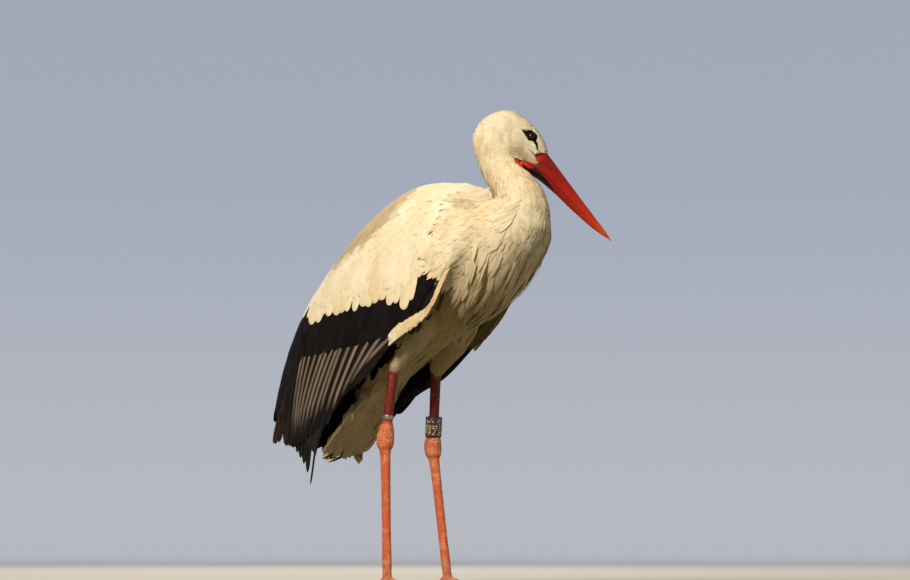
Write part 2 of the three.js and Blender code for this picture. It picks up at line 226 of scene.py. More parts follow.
def make_lights():
    for name, (place, size, power, colour) in LIGHTS.items():
        data = bpy.data.lights.new(name, "AREA")
        data.shape = "DISK"
        data.size = size
        data.energy = power
        data.color = colour
        look_at(bpy.data.objects.new(name, data), place, LIGHTS_AIM)


def make_sky():
    """Soft light from all round, warm from below."""
    world = bpy.data.worlds.new("studio")
    world.use_nodes = True
    nodes, links = world.node_tree.nodes, world.node_tree.links
    place = nodes.new("ShaderNodeTexCoord")
    split = nodes.new("ShaderNodeSeparateXYZ")
    ramp = nodes.new("ShaderNodeValToRGB")
    height = nodes.new("ShaderNodeMapRange")
    height.inputs["From Min"].default_value = -1
    links.new(place.outputs["Generated"], split.inputs[0])
    links.new(split.outputs["Z"], height.inputs["Value"])
    links.new(height.outputs[0], ramp.inputs["Fac"])
    for element, (at, colour) in zip(ramp.color_ramp.elements, [(0.30, GROUND_LIGHT), (0.72, SKY_LIGHT)]):
        element.position = at
        element.color = (*colour, 1)
    links.new(ramp.outputs["Color"], nodes["Background"].inputs["Color"])
    nodes["Background"].inputs["Strength"].default_value = SKY_STRENGTH
    bpy.context.scene.world = world
    bpy.context.scene.view_settings.view_transform = "Standard"


# ---- Materials ----


class Paint:
    """A material under construction: its nodes, links and Principled shader."""

    def __init__(self, name, roughness, specular=0.5, **values):
        self.material = bpy.data.materials.new(name)
        self.material.use_nodes = True
        self.tree = self.material.node_tree
        self.shader = self.tree.nodes["Principled BSDF"]
        self.shader.inputs["Roughness"].default_value = roughness
        self.shader.inputs["Specular IOR Level"].default_value = specular
        for socket, value in values.items():
            self.shader.inputs[socket.replace("_", " ")].default_value = value

    def node(self, kind, operation=None, inputs=(), **settings):
        made = self.tree.nodes.new(kind)
        if operation:
            made.operation = operation
        for key, value in settings.items():
            setattr(made, key, value)
        for key, value in dict(inputs if isinstance(inputs, dict) else enumerate(inputs)).items():
            self.plug(value, made.inputs[key])
        return made

    def plug(self, value, socket):
        if isinstance(value, bpy.types.NodeSocket):
            self.tree.links.new(value, socket)
        elif isinstance(value, bpy.types.Node):
            self.tree.links.new(value.outputs[0], socket)
        elif value is not None:
            socket.default_value = value

    def math(self, operation, *values):
        return self.node("ShaderNodeMath", operation, values).outputs[0]

    def tint(self):
        return self.node("ShaderNodeAttribute", attribute_name="tint").outputs["Color"]

    def uv(self, name):
        return self.node("ShaderNodeUVMap", uv_map=name).outputs["UV"]

    def place(self):
        return self.node("ShaderNodeTexCoord").outputs["Object"]

    def noise(self, vector, scale, detail=3.0, stretch=None):
        if stretch:
            vector = self.node("ShaderNodeVectorMath", "MULTIPLY", (vector, stretch)).outputs[0]
        made = self.node("ShaderNodeTexNoise", inputs={"Vector": vector, "Scale": scale, "Detail": detail})
        return made.outputs["Fac"]

    def between(self, low, high, value, out_low=0.0, out_high=1.0):
        inputs = {"Value": value, "From Min": low, "From Max": high, "To Min": out_low, "To Max": out_high}
        return self.node("ShaderNodeMapRange", inputs=inputs, clamp=True).outputs[0]

    def blend(self, share, a, b, kind="MIX"):
        made = self.node("ShaderNodeMix", data_type="RGBA", blend_type=kind)
        self.plug(share, made.inputs[0])
        self.plug(a, made.inputs[6])
        self.plug(b, made.inputs[7])
        return made.outputs[2]

    def darkened(self, colour, share, depth):
        """colour times 1 - depth where share is 1."""
        factor = self.between(0, 1, share, 1, 1 - depth)
        return self.blend(1.0, colour, self.node("ShaderNodeCombineColor", inputs=[factor] * 3), "MULTIPLY")

    def finish(self, colour, roughness=None, height=None, depth=1.0, strength=0.6):
        self.plug(colour, self.shader.inputs["Base Color"])
        self.plug(roughness, self.shader.inputs["Roughness"])
        if height is not None:
            inputs = {"Height": height, "Distance": depth * MM, "Strength": strength}
            bump = self.node("ShaderNodeBump", inputs=inputs)
            self.plug(bump.outputs[0], self.shader.inputs["Normal"])
        return self.material


def feather_material(name, roughness, barbs, shaft, specular, **values):
    """Vanes of fine barbs that run out from a shaft.

    Their map "vane" is in mm, across and along the feather. barbs is how far apart the barbs are, and
    shaft is how dark the shaft is.
    """
    paint = Paint(name, roughness, specular, **values)
    across, along, _ = paint.node("ShaderNodeSeparateXYZ", inputs=[paint.uv("vane")]).outputs
    out = paint.math("ABSOLUTE", across)
    lean = paint.math("SUBTRACT", along, paint.math("MULTIPLY", out, 1.15))
    noise = paint.noise(paint.place(), 210, 3)
    wander = paint.math("MULTIPLY_ADD", noise, 2.4, lean)
    ribs = paint.math("SINE", paint.math("MULTIPLY", wander, 2 * math.pi / barbs))
    coarse = paint.math("SINE", paint.math("MULTIPLY", wander, 2 * math.pi / (barbs * 3.7)))
    ribs = paint.math("MULTIPLY_ADD", coarse, 0.4, ribs)
    rib_share = paint.between(-1.4, 1.4, ribs)
    quill = paint.between(0.35, 0.9, out, 1, 0)
    height = paint.math("MULTIPLY_ADD", quill, 1.5, rib_share)
    colour = paint.darkened(paint.tint(), paint.math("SUBTRACT", 1.0, rib_share), 0.22)
    colour = paint.darkened(colour, quill, shaft)
    patchy = paint.between(0.3, 0.7, paint.noise(paint.place(), 60, 4), 0, 1)
    colour = paint.darkened(colour, patchy, 0.07)
    gloss = paint.between(0, 1, rib_share, roughness + 0.08, roughness - 0.06)
    return paint.finish(colour, gloss, height, 0.2 * barbs, 0.5)


def make_materials():
    return {
        "plumage": feather_material("plumage", 0.75, 0.8, 0.05, 0.2, Sheen_Weight=0.1, Sheen_Roughness=0.5),
        "down": feather_material("down", 0.8, 0.4, 0.03, 0.1),
        "black_coverts": feather_material("black_coverts", 0.66, 0.9, 0.3, 0.05),
        "flight_feathers": feather_material("flight_feathers", 0.6, 0.9, 0.75, 0.06),
    }


# ---- Meshes ----


def mesh_object(name, points, faces, tint=None, maps=None):
    """One object from (n, 3) points and a list of face arrays, each with its own number of corners."""
    faces = [np.asarray(f, np.int32) for f in faces if len(f)]
    corners = np.concatenate([f.ravel() for f in faces])
    sizes = np.concatenate([np.full(len(f), f.shape[1], np.int32) for f in faces])
    mesh = bpy.data.meshes.new(name)
    mesh.vertices.add(len(points))
    mesh.vertices.foreach_set("co", metres(points).astype(np.float32).ravel())
    mesh.loops.add(len(corners))
    mesh.loops.foreach_set("vertex_index", corners)
    mesh.polygons.add(len(sizes))
    mesh.polygons.foreach_set("loop_start", np.concatenate([[0], np.cumsum(sizes)[:-1]]).astype(np.int32))
    mesh.update(calc_edges=True)
    mesh.shade_smooth()
    for map_name, uv in (maps or {}).items():
        layer = mesh.uv_layers.new(name=map_name)
        layer.uv.foreach_set("vector", np.asarray(uv, np.float32)[corners].ravel())
    if tint is not None:
        set_tint(mesh, tint)
    obj = bpy.data.objects.new(name, mesh)
    bpy.context.scene.collection.objects.link(obj)
    return obj


def halved(quads):
    """Four-sided faces cut into triangles."""
    return np.vstack([quads[:, [0, 1, 2]], quads[:, [0, 2, 3]]])


def set_tint(mesh, tint):
    colour = np.ones((len(mesh.vertices), 4), np.float32)
    colour[:, :3] = np.clip(tint, 0, 1)
    layer = mesh.color_attributes.new("tint", "FLOAT_COLOR", "POINT")
    layer.data.foreach_set("color", colour.ravel())


def read_points(mesh, what="co"):
    values = np.empty(len(mesh.vertices) * 3, np.float32)
    mesh.vertices.foreach_get(what, values)
    return values.reshape(-1, 3).astype(float)


def read_triangles(mesh):
    mesh.calc_loop_triangles()
    values = np.empty(len(mesh.loop_triangles) * 3, np.int32)
    mesh.loop_triangles.foreach_get("vertices", values)
    return values.reshape(-1, 3)


def add_modifier(obj, kind, **settings):
    modifier = obj.modifiers.new(kind.lower(), kind)
    for key, value in settings.items():
        setattr(modifier, key, value)


def union(parts, voxel, relax, closing=0.0):
    """Closed meshes as one smooth closed mesh: its points and normals in mm, and its four-sided faces.

    Gaps narrower than twice closing are filled.
    """
    starts = np.cumsum([0] + [len(points) for points, _ in parts])
    faces = np.vstack([faces + start for (_, faces), start in zip(parts, starts)])
    obj = mesh_object("rough", np.vstack([points for points, _ in parts]), [faces])
    add_modifier(obj, "WELD", merge_threshold=0.01 * MM)
    add_modifier(obj, "REMESH", mode="VOXEL", voxel_size=voxel * MM)
    if closing:
        add_modifier(obj, "DISPLACE", strength=closing * MM, mid_level=0.0)
        add_modifier(obj, "REMESH", mode="VOXEL", voxel_size=voxel * MM)
        add_modifier(obj, "DISPLACE", strength=-closing * MM, mid_level=0.0)
    add_modifier(obj, "SMOOTH", factor=0.5, iterations=relax)
    mesh = bpy.data.meshes.new_from_object(obj.evaluated_get(bpy.context.evaluated_depsgraph_get()))
    quads = np.empty(len(mesh.polygons) * 4, np.int32)
    mesh.loops.foreach_get("vertex_index", quads)
    made = millimetres(read_points(mesh)), read_points(mesh, "normal"), quads.reshape(-1, 4)
    bpy.data.objects.remove(obj)
    bpy.data.meshes.remove(mesh)
    return made


def remeshed(nodes, voxel, relax):
    """CAD nodes as one smooth closed mesh."""
    meshes = [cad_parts[node].data for node in nodes]
    return union([(millimetres(read_points(mesh)), read_triangles(mesh)) for mesh in meshes], voxel, relax)


def tube(path, rings):
    """Faces of a closed tube of rings points in each ring, path rings long, with both ends capped."""
    i, j = np.meshgrid(np.arange(path - 1), np.arange(rings), indexing="ij")
    a, b = i * rings + j, i * rings + (j + 1) % rings
    sides = np.stack([a, b, b + rings, a + rings], -1).reshape(-1, 4)
    start = np.arange(rings)[::-1][None]
    end = (path - 1) * rings + np.arange(rings)[None]
    return [sides, start, end]


# ---- Laying feathers ----


class Guide:
    """A surface that feathers are laid along."""

    def __init__(self, points, quads):
        self.points = points
        self.faces = halved(quads)
        self.tree = BVHTree.FromPolygons(points.tolist(), self.faces.tolist())

    def nearest(self, points):
        found = [self.tree.find_nearest(p) for p in points.tolist()]
        return np.array([f[0] for f in found]), np.array([f[1] for f in found])

    def hit(self, points, direction):
        """Where rays from points along direction meet the surface, or the nearest place to them."""
        far = points - np.asarray(direction) * 300
        found = [self.tree.ray_cast(p, direction) for p in far.tolist()]
        near, _ = self.nearest(points)
        return np.array([n if f[0] is None else f[0] for f, n in zip(found, near)])

    def grow(self, points, heading, lengths, shares):
        """Paths over the surface from points, along heading, with stations at shares of their lengths."""
        near, normals = self.nearest(points)
        path, standing = [points.copy()], [normals]
        place = points.copy()
        for step in np.diff(shares):
            way = heading(place)
            way = unit(way - normals * dot(way, normals))
            place = place + way * (lengths * step)[:, None]
            near, normals = self.nearest(place)
            place = place - normals * dot(place - near, normals)
            path.append(place)
            standing.append(normals)
        return np.stack(path, 1), np.stack(standing, 1)

    def scatter(self, spacing, keep, room=0.82):
        """Random places on the surface where keep(points) is true.

        They are about spacing apart, which is a number or a function of the points.
        """
        if not callable(spacing):
            apart = float(spacing)

            def spacing(p):
                return np.full(len(p), apart)

        a, b, c = (self.points[self.faces[:, k]] for k in range(3))
        area = np.linalg.norm(np.cross(b - a, c - a), axis=1) / 2
        middle = (a + b + c) / 3
        kept = keep(middle)
        wanted = np.zeros(len(area))
        wanted[kept] = 3.2 * area[kept] / spacing(middle[kept]) ** 2
        face = np.repeat(np.arange(len(area)), rng.poisson(wanted))
        u, v = rng.random((2, len(face), 1))
        flip = u + v > 1
        u, v = np.where(flip, 1 - u, u), np.where(flip, 1 - v, v)
        points = (a[face] + u * (b - a)[face] + v * (c - a)[face])[rng.permutation(len(face))]
        gaps = spacing(points) * room
        cell = float(gaps.max())
        taken, chosen = {}, []
        around = list(np.ndindex(3, 3, 3))
        cells = np.floor(points / cell).astype(int).tolist()
        for i, (p, key, gap) in enumerate(zip(points.tolist(), cells, gaps)):
            x, y, z = (k - 1 for k in key)
            if not any(
                (p[0] - q[0]) ** 2 + (p[1] - q[1]) ** 2 + (p[2] - q[2]) ** 2 < gap * gap
                for s in around
                for q in taken.get((x + s[0], y + s[1], z + s[2]), ())
            ):
                taken.setdefault(tuple(key), []).append(p)
                chosen.append(i)
        return points[chosen]


# Outlines of feathers: the share of the length, from the root, and the share of the half width there.
ROUND = np.array([(0, 0.30), (0.22, 0.72), (0.5, 0.97), (0.74, 1.0), (0.9, 0.72), (0.97, 0.42), (1, 0.08)])
LOOSE = np.array([(0, 0.35), (0.3, 0.85), (0.6, 1.0), (0.85, 0.62), (1, 0.06)])
HAIRY = np.array([(0, 0.5), (0.35, 0.95), (0.7, 0.8), (1, 0.06)])
LONG = np.array([
    (0, 0.35), (0.08, 0.6), (0.2, 0.85), (0.36, 0.97), (0.54, 1.0), (0.7, 1.0),
    (0.82, 0.97), (0.9, 0.86), (0.95, 0.68), (0.985, 0.38), (1, 0.06),
])  # fmt: skip
STIFF = np.array([
    (0, 0.3), (0.06, 0.5), (0.14, 0.75), (0.26, 0.9), (0.4, 0.97), (0.55, 1.0), (0.7, 1.0),
    (0.82, 0.98), (0.9, 0.9), (0.945, 0.76), (0.975, 0.54), (0.992, 0.3), (1, 0.06),
])  # fmt: skip
PATCH = 0.003  # how wide each feather's patch of the map OFBake is


def from_tips(guide, tips, heading, lengths, outline):
    """Paths that end at tips, from root to tip, with stations at the outline's shares."""
    path, normals = guide.grow(tips, lambda p: -heading(p), lengths, 1 - outline[::-1, 0])
    return path[:, ::-1], normals[:, ::-1]


def raised(n, outline, root, tip):
    """Lift of each station off the guide, from root at the root to tip at the tip."""
    root, tip = (np.broadcast_to(np.asarray(v, float), (n,))[:, None] for v in (root, tip))
    return root + (tip - root) * outline[:, 0] ** 0.8


class Vanes:
    """Feathers that are gathered up, then made into one mesh."""

    def __init__(self, name, unwrap):
        self.name = name
        self.unwrap = unwrap
        self.count = 0
        self.faces = {}
        self.points, self.tints, self.bake, self.vane = [], [], [], []

    def lay(
        self, guide, places, heading, lengths, lift, half, outline, tint, camber,
        thick=0.3, columns=3, bend=0.0, tips=True,
    ):  # fmt: skip
        """Feathers along heading over guide, with their tips (or else their roots) at places.

        lift is how far the root and the tip of each stand off the guide.
        """
        if tips:
            path, normals = from_tips(guide, places, heading, lengths, outline)
        else:
            path, normals = guide.grow(places, heading, lengths, outline[:, 0])
        offset = raised(len(path), outline, *lift)
        self.add(path, normals, half, outline, tint, camber, thick, columns, bend, offset)

    def add(
        self, path, normals, half, outline, tint, camber,
        thick=0.3, columns=3, bend=0.0, offset=0.0, shift=0.0,
    ):  # fmt: skip
        """Feathers along path (n, stations, 3) from root to tip.

        half is the half width of each; tint(points, across, along) gives the colour; bend twists each vane
        about its shaft, in radians; offset (n, stations) lifts it off the surface; shift moves the vane
        sideways off its shaft, in half widths.
        """
        shares, widths = outline.T
        n, stations = path.shape[:2]
        along = unit(np.gradient(path, axis=1))
        side = unit(np.cross(normals, along))
        up = np.cross(along, side)
        bend = np.broadcast_to(np.asarray(bend, float), (n,))[:, None, None]
        side, up = side * np.cos(bend) + up * np.sin(bend), up * np.cos(bend) - side * np.sin(bend)
        u = np.linspace(-1, 1, columns)
        half = np.broadcast_to(np.asarray(half, float), (n,))[:, None] * widths
        across = (u + shift) * half[..., None]
        arch = (1 - u**2)[None, None] * half[..., None] * camber
        offset = np.broadcast_to(np.asarray(offset, float), (n, stations))[..., None]
        side, up = side[:, :, None], up[:, :, None]
        top = path[:, :, None] + side * across[..., None] + up * (arch + offset)[..., None]
        inner = top[:, :, 1:-1] - up * thick
        ring = np.concatenate([top, inner[:, :, ::-1]], 2)
        ring_across = np.concatenate([across, across[:, :, -2:0:-1]], 2)
        rings = ring.shape[2]
        length = np.linalg.norm(np.diff(path, axis=1), axis=-1).sum(1)
        share = np.broadcast_to(shares[None, :, None], (n, stations, rings))
        points = ring.reshape(-1, 3)
        colour = tint(points.reshape(n, -1, 3), ring_across.reshape(n, -1), share.reshape(n, -1))
        root = self.unwrap(path[:, 0])
        place = np.stack([(ring_across / half.max() - shift) / 2, share - 0.5], -1) * PATCH
        self.points.append(points)
        self.tints.append(np.broadcast_to(colour, (n, stations * rings, 3)).reshape(-1, 3))
        self.bake.append((root[:, None, None] + place).reshape(-1, 2))
        self.vane.append(np.stack([ring_across, share * length[:, None, None]], -1).reshape(-1, 2))
        starts = self.count + np.arange(n) * stations * rings
        for f in tube(stations, rings):
            made = (starts[:, None, None] + f[None]).reshape(-1, f.shape[1])
            self.faces.setdefault(f.shape[1], []).append(made)
        self.count += len(points)

    def build(self, material, slot):
        faces = [np.vstack(f) for f in self.faces.values()]
        maps = {"OFBake": np.vstack(self.bake), "vane": np.vstack(self.vane)}
        obj = mesh_object(self.name, np.vstack(self.points), faces, np.vstack(self.tints), maps)
        obj.data.set_sharp_from_angle(angle=math.radians(75))
        obj.data.materials.append(material)
        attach(obj, "root")
        return obj


# ---- The lie of the coat ----

# From the bill's base over the skull, down the neck and along the trunk to the tail.
SPINE = np.vstack(
    [
        from_head([[52, 0, -30], [22, 0, 4], [-14, 0, -2]]),
        [(86, 2, 686), (97, 5, 664), (124, 3, 637), (148, 0, 606), (150, 0, 575), (122, 0, 540)],
        [(40, 0, 520), (-40, 0, 480), (-110, 0, 420), (-165, 0, 355), (-205, 0, 300), (-245, 0, 240)],
    ]
)
SPINE_LENGTHS = np.linalg.norm(np.diff(SPINE, axis=0), axis=1)
SPINE_STARTS = np.concatenate([[0], np.cumsum(SPINE_LENGTHS)])
ANKLES = {"left": np.array([-111, 60, 228.0]), "right": np.array([-98, -60, 239.0])}
FEET = {"left": np.array([-80, 63, 13.0]), "right": np.array([-90, -63, 13.0])}
HIPS = {"left": np.array([-30, 44, 446.0]), "right": np.array([-30, -44, 446.0])}
CUFFS = {name: np.array([ANKLES[name][0] + 13, 54 * side, 350.0]) for name, side in SIDES.items()}


def along_spine(points):
    """Arc length of the nearest place on the spine."""
    distance, share = to_segments(points, SPINE[:-1], SPINE[1:])
    i = distance.argmin(1)
    return SPINE_STARTS[i] + share[np.arange(len(points)), i] * SPINE_LENGTHS[i], distance.min(1)


LIE_STARTS = np.vstack([SPINE[:-1], [HIPS["left"], HIPS["right"]]])
LIE_ENDS = np.vstack([SPINE[1:], [CUFFS["left"], CUFFS["right"]]])


def body_lie(points, fall=0.25):
    """Which way the coat lies over the body: back from the bill, and down by fall."""
    distance, _ = to_segments(points, LIE_STARTS, LIE_ENDS)
    return unit(distance**-4.0 @ unit(LIE_ENDS - LIE_STARTS)) + [0, 0, -fall]


def on_thigh(points):
    distance, share = to_segments(points, LIE_STARTS[-2:], LIE_ENDS[-2:])
    return (distance.min(1) < 47) & (points[:, 2] < 440) & (share.max(1) > 0.1)


def body_unwrap(points):
    """Arc length along the spine and angle round it."""
    arc, _ = along_spine(points)
    i = np.clip(np.searchsorted(SPINE_STARTS, arc) - 1, 0, len(SPINE) - 2)
    axis = unit(SPINE[i + 1] - SPINE[i])
    centre = SPINE[i] + axis * (arc - SPINE_STARTS[i])[:, None]
    out = points - centre
    side = unit(np.cross(axis, [0, 0.02, 1.0]))
    angle = np.arctan2(dot(out, side)[:, 0], dot(out, np.cross(side, axis))[:, 0])
    return np.stack([0.01 + 0.98 * arc / SPINE_STARTS[-1], 0.5 + angle / (2.04 * math.pi)], -1)


# ---- Markings ----

WHITE = np.array([0.82, 0.755, 0.62])
CREAM = np.array([0.76, 0.62, 0.40])
TAN = np.array([0.42, 0.32, 0.20])
BLACK = np.array([0.007, 0.0055, 0.006])
SILVER = np.array([0.225, 0.185, 0.145])
BROWN = np.array([0.026, 0.014, 0.011])
# The inner face's white feathers, painted dark olive: painted shade of the wing's underside.
SHADED_LINING = np.array([0.26, 0.20, 0.10])
FACE_BLACK = np.array([0.005, 0.004, 0.004])
GAPE_RED = np.array([0.66, 0.080, 0.028])

# In the head's frame, mm ahead and mm up: the bare black skin round the eye, and a dark crease below it,
# painted black as painted shade.
EYE_PATCH = [
    (24.6, 20.3), (32.8, 17.2), (39.6, 19.0), (46.5, 16.5), (49.6, 7.0), (52.4, -5.7), (53.2, -16),
    (50.9, -16), (48.8, -7.1), (44.8, -0.8), (38.0, -0.4), (33.2, 7.4), (28.7, 14.4),
]  # fmt: skip
CREASE_SHADE_LINE = [((35.0, -11), 0.5), ((43, -18.5), 1.0), ((50, -25.5), 0.9)]
# Where the feathers end round the bill: the gape's strip, the white lobe over the bill, and the forehead.
MOUTH = [
    (7, -24), (22, -27.5), (38, -34.5), (47, -38.2), (52.5, -36.5), (52.5, -33), (48.5, -28), (46.5, -22.5),
    (50.6, -18.5), (67, -17.5), (95, -25), (95, -110), (60, -76), (40, -51), (24.6, -41), (10.9, -30),
]  # fmt: skip
# Black skin under the bill's base: painted shadow, which goes on along the lower mandible's base.
CHIN_SHADOW_PATCH = [(34, -45), (46, -40), (70, -66), (64, -74), (50, -62), (40, -53)]


def outside(places, outline):
    """How far places in a plane are outside a closed outline. Inside is below 0."""
    corners = np.array(outline, float)
    ends = np.roll(corners, -1, axis=0)
    distance, _ = to_segments(places, corners, ends)
    above, below = corners[:, 1] > places[:, 1:], ends[:, 1] > places[:, 1:]
    slope = (ends[:, 0] - corners[:, 0]) / (ends[:, 1] - corners[:, 1] + 1e-9)
    crossed = (above != below) & (places[:, :1] < corners[:, 0] + slope * (places[:, 1:] - corners[:, 1]))
    return distance.min(1) * np.where(crossed.sum(1) % 2, -1, 1)


def tapered(places, line):
    """How far places in a plane are outside a line of (place, half width). Inside is below 0."""
    spots = np.array([p for p, _ in line], float)
    widths = np.array([w for _, w in line], float)
    distance, share = to_segments(places, spots[:-1], spots[1:])
    return (distance - (widths[:-1] + share * np.diff(widths))).min(1)


def face_marks(points):
    """How far outside the black skin, and outside the mouth, each point is: bare black skin, with painted
    shade in the crease below the eye and painted shadow under the bill's base.
    """
    local = to_head(points)
    places = local[:, [0, 2]]
    off = np.where(local[:, 0] < -10, 99.0, 0) + np.where(np.abs(local[:, 1]) > 45, 99.0, 0)
    black = np.minimum(outside(places, EYE_PATCH), tapered(places, CREASE_SHADE_LINE))
    black = np.minimum(black, outside(places, CHIN_SHADOW_PATCH))
    return black + off, outside(places, MOUTH) + off


def body_colour(points):
    """White, stained cream and tan in clouds, on the neck and in streaks; cream low on the breast and tan on
    the belly, partly stained and partly painted shade of the underside; tan streaks behind the nape, painted
    shade.
    """
    arc, _ = along_spine(points)
    height = points[:, 2]
    neck = smoothstep(70, 110, arc) * smoothstep(260, 200, arc)
    stains_and_shade = [
        (CREAM, 0.7 * smoothstep(0.45, 0.95, lumps(points, 40, 1))),
        # Cream low on the breast and tan on the belly: partly stained, partly painted shade of the underside.
        (CREAM, 0.7 * smoothstep(190, 330, arc) * smoothstep(600, 430, height)),
        (TAN, 0.45 * smoothstep(300, 420, arc) * smoothstep(480, 420, height)),
        (CREAM, 0.45 * neck),
    ]
    colour = WHITE
    for layer_colour, share in stains_and_shade:
        colour = mix(colour, layer_colour, share)
    colour = colour * (1 - 0.06 * neck[:, None])
    streak = lumps(points * [1, 1, 0.28], 5.5, 3)
    # Tan streaks behind the base of the neck: painted shade among the feathers there.
    nape = np.interp(height, [560, 600, 660, 700], [130, 120, 98, 86])
    nape_shade = smoothstep(4, -16, points[:, 0] - nape) * smoothstep(560, 590, height)
    nape_shade = nape_shade * smoothstep(676, 640, height) * smoothstep(40, 70, points[:, 0])
    colour = mix(colour, TAN, 0.55 * nape_shade * smoothstep(0.25, 0.75, streak))
    colour = mix(colour, TAN, 0.3 * smoothstep(0.45, 0.85, streak))
    return colour * (0.93 + 0.10 * lumps(points, 9, 2)[:, None])


def skin_colour(points):
    black, red = face_marks(points)
    colour = body_colour(points) * 0.8
    colour = mix(colour, GAPE_RED, smoothstep(0.7, -0.3, red))
    return mix(colour, FACE_BLACK, smoothstep(0.7, -0.5, black))


def plain(colour, vary=0.05, tip=None, tip_at=0.8):
    """A tint for whole feathers of one colour, or of (n, 3) colours, that vary a little in tone."""

    def tint(points, across, along):
        n = len(points)
        tone = 1 + vary * rng.standard_normal((n, 1, 1))
        made = np.broadcast_to(np.asarray(colour, float).reshape(-1, 1, 3), (n, along.shape[1], 3)) * tone
        if tip is not None:
            made = mix(made, tip, smoothstep(tip_at, 1, along))
        # Darker towards the root: painted shade where each feather lies under the next.
        shade = 0.86 + 0.14 * smoothstep(0, 0.55, along)
        return made * shade[..., None]

    return tint


# ---- Flesh ----


def softened(points, quads, rounds=60):
    """The hull with the crease between the skull and the nape smoothed out."""
    arc, _ = along_spine(points)
    behind = smoothstep(22, 0, to_head(points)[:, 0])
    share = 0.5 * (behind * smoothstep(55, 80, arc) * smoothstep(165, 130, arc))[:, None]
    a, b = quads.ravel(), np.roll(quads, -1, axis=1).ravel()
    n = len(points)
    count = (np.bincount(a, minlength=n) + np.bincount(b, minlength=n))[:, None]
    for _ in range(rounds):
        total = [np.bincount(a, points[b, k], n) + np.bincount(b, points[a, k], n) for k in range(3)]
        points = points + share * (np.stack(total, -1) / count - points)
    return points


CROWN_RISE = 2.6
# Where the hull is pushed in: the middle, the radius and how far.
PUSHES = [
    ((84, -2, 628), 64, (12, 4, -22)),
    ((175, 45, 488), 75, (-11, -9, 2)),
    ((45, 100, 455), 75, (-14, -13, 0)),
]


def reshaped(points):
    """The hull filled out over the skull, and drawn in behind the neck and under the breast."""
    local = to_head(points)
    crown = smoothstep(34, 12, local[:, 0]) * smoothstep(-30, -8, local[:, 2])
    points = points + (CROWN_RISE * crown)[:, None] * unit(points - HEAD_AT)
    for middle, radius, way in PUSHES:
        near = smoothstep(radius, 0, np.linalg.norm(points - middle, axis=1))
        points = points + near[:, None] * way
    return points


FLESH = ["head", "neck_upper", "neck_lower", "trunk", "thigh_left", "thigh_right"]
COAT_DEPTHS = [(0, 1.4), (60, 2.4), (110, 3.0), (160, 4.0), (230, 5.0), (300, 7.0)]  # by arc length


def coat_depth(points):
    """How far the skin lies inside the coat's surface, in mm."""
    arc, _ = along_spine(points)
    (depth,) = read_off(COAT_DEPTHS, arc)
    depth = np.where(on_thigh(points), 5.5, depth)
    black, red = face_marks(points)
    return depth * smoothstep(-1.5, 6, np.minimum(black, red)) + 0.7 + 3.6 * smoothstep(0.4, -1.6, red)


def refined(points, faces, keep, cuts):
    """The same closed mesh with the faces where keep(middle) is true split finer."""
    obj = mesh_object("rough", points, [faces])
    made = bmesh.new()
    made.from_mesh(obj.data)
    middles = millimetres([f.calc_center_median() for f in made.faces])
    near = keep(middles)
    edges = {e for f, wanted in zip(made.faces, near) if wanted for e in f.edges}
    bmesh.ops.subdivide_edges(made, edges=list(edges), cuts=cuts, use_grid_fill=True, smooth=1.0)
    bmesh.ops.triangulate(made, faces=[f for f in made.faces if len(f.verts) != 4])
    made.to_mesh(obj.data)
    made.free()
    result = millimetres(read_points(obj.data)), read_points(obj.data, "normal"), read_triangles(obj.data)
    bpy.data.objects.remove(obj)
    return result


def eye_dent(points):
    """Skin round each eye, sunk so that the ball and its lids fill the opening."""
    local = to_head(points)
    radial = np.hypot(local[:, 0] - EYE_AT[0], local[:, 2] - EYE_AT[2])
    depth = np.abs(local[:, 1])
    sunk = depth + (np.minimum(depth, 16.5) - depth) * smoothstep(7.0, 4.8, radial)
    local[:, 1] = np.sign(local[:, 1]) * sunk
    return from_head(local)


def mouth_dent(points):
    """Flesh that the bill's base covers, drawn in towards the bill's axis."""
    _, red = face_marks(points)
    local = bird_to_bill(points)
    covered = smoothstep(-0.8, -3.0, red) * smoothstep(-14, -4, local[:, 0])
    local[:, 1:] *= 1 - 0.35 * covered[:, None]
    return bill_to_bird(local)


def near_face(points):
    local = to_head(points)
    return (local[:, 0] > 10) & (np.abs(local[:, 1]) < 40) & (np.abs(local[:, 2] + 15) < 48)


def flesh_shell():
    points, _, quads = remeshed(FLESH, 3.8, 4)
    points, normals, faces = refined(reshaped(softened(points, quads, 35)), quads, near_face, 3)
    inside = mouth_dent(points - normals * coat_depth(points)[:, None])
    return eye_dent(inside), faces, skin_colour(points), np.zeros((len(points), 2))


TOE_NODES = ["inner", "middle", "outer", "hind"]
LEG_PARTS = ["shank", "ankle", "tarsus", "foot"]
# The shank's darker red above the ankle is painted shade.
SHADED_LEG_RED = np.array([0.17, 0.006, 0.004])
LEG_ORANGE = np.array([0.68, 0.135, 0.055])
LEG_PALE = np.array([0.76, 0.36, 0.20])
KNOB_COLOUR = np.array([0.66, 0.25, 0.14])
DUST = np.array([0.42, 0.19, 0.14])
CREASE_PITCH, SCUTE_PITCH, TOE_PITCH = 3.4, 5.2, 4.4


def leg_nodes(side):
    return [f"{part}_{side}" for part in LEG_PARTS] + [f"toe_{toe}_{side}" for toe in TOE_NODES]


def leg_colour(points, side):
    """Dark red above the ankle, where the shank's shade is painted, and orange below it, with pale scales, a
    pale ankle and dusty toes.
    """
    height = points[:, 2]
    ankle = ANKLES[side][2]
    pale = smoothstep(0.45, 0.8, lumps(points, 7, 5)) * smoothstep(ankle + 25, ankle, height)
    colour = mix(LEG_ORANGE, SHADED_LEG_RED, smoothstep(ankle + 14, ankle + 34, height))
    colour = mix(colour, LEG_PALE, 0.6 * pale)
    colour = mix(colour, KNOB_COLOUR, 0.5 * smoothstep(26, 6, np.abs(height - ankle)))
    colour = mix(colour, DUST, 0.45 * smoothstep(60, 5, height))
    return colour * (0.9 + 0.16 * lumps(points, 3.0, 6)[:, None])


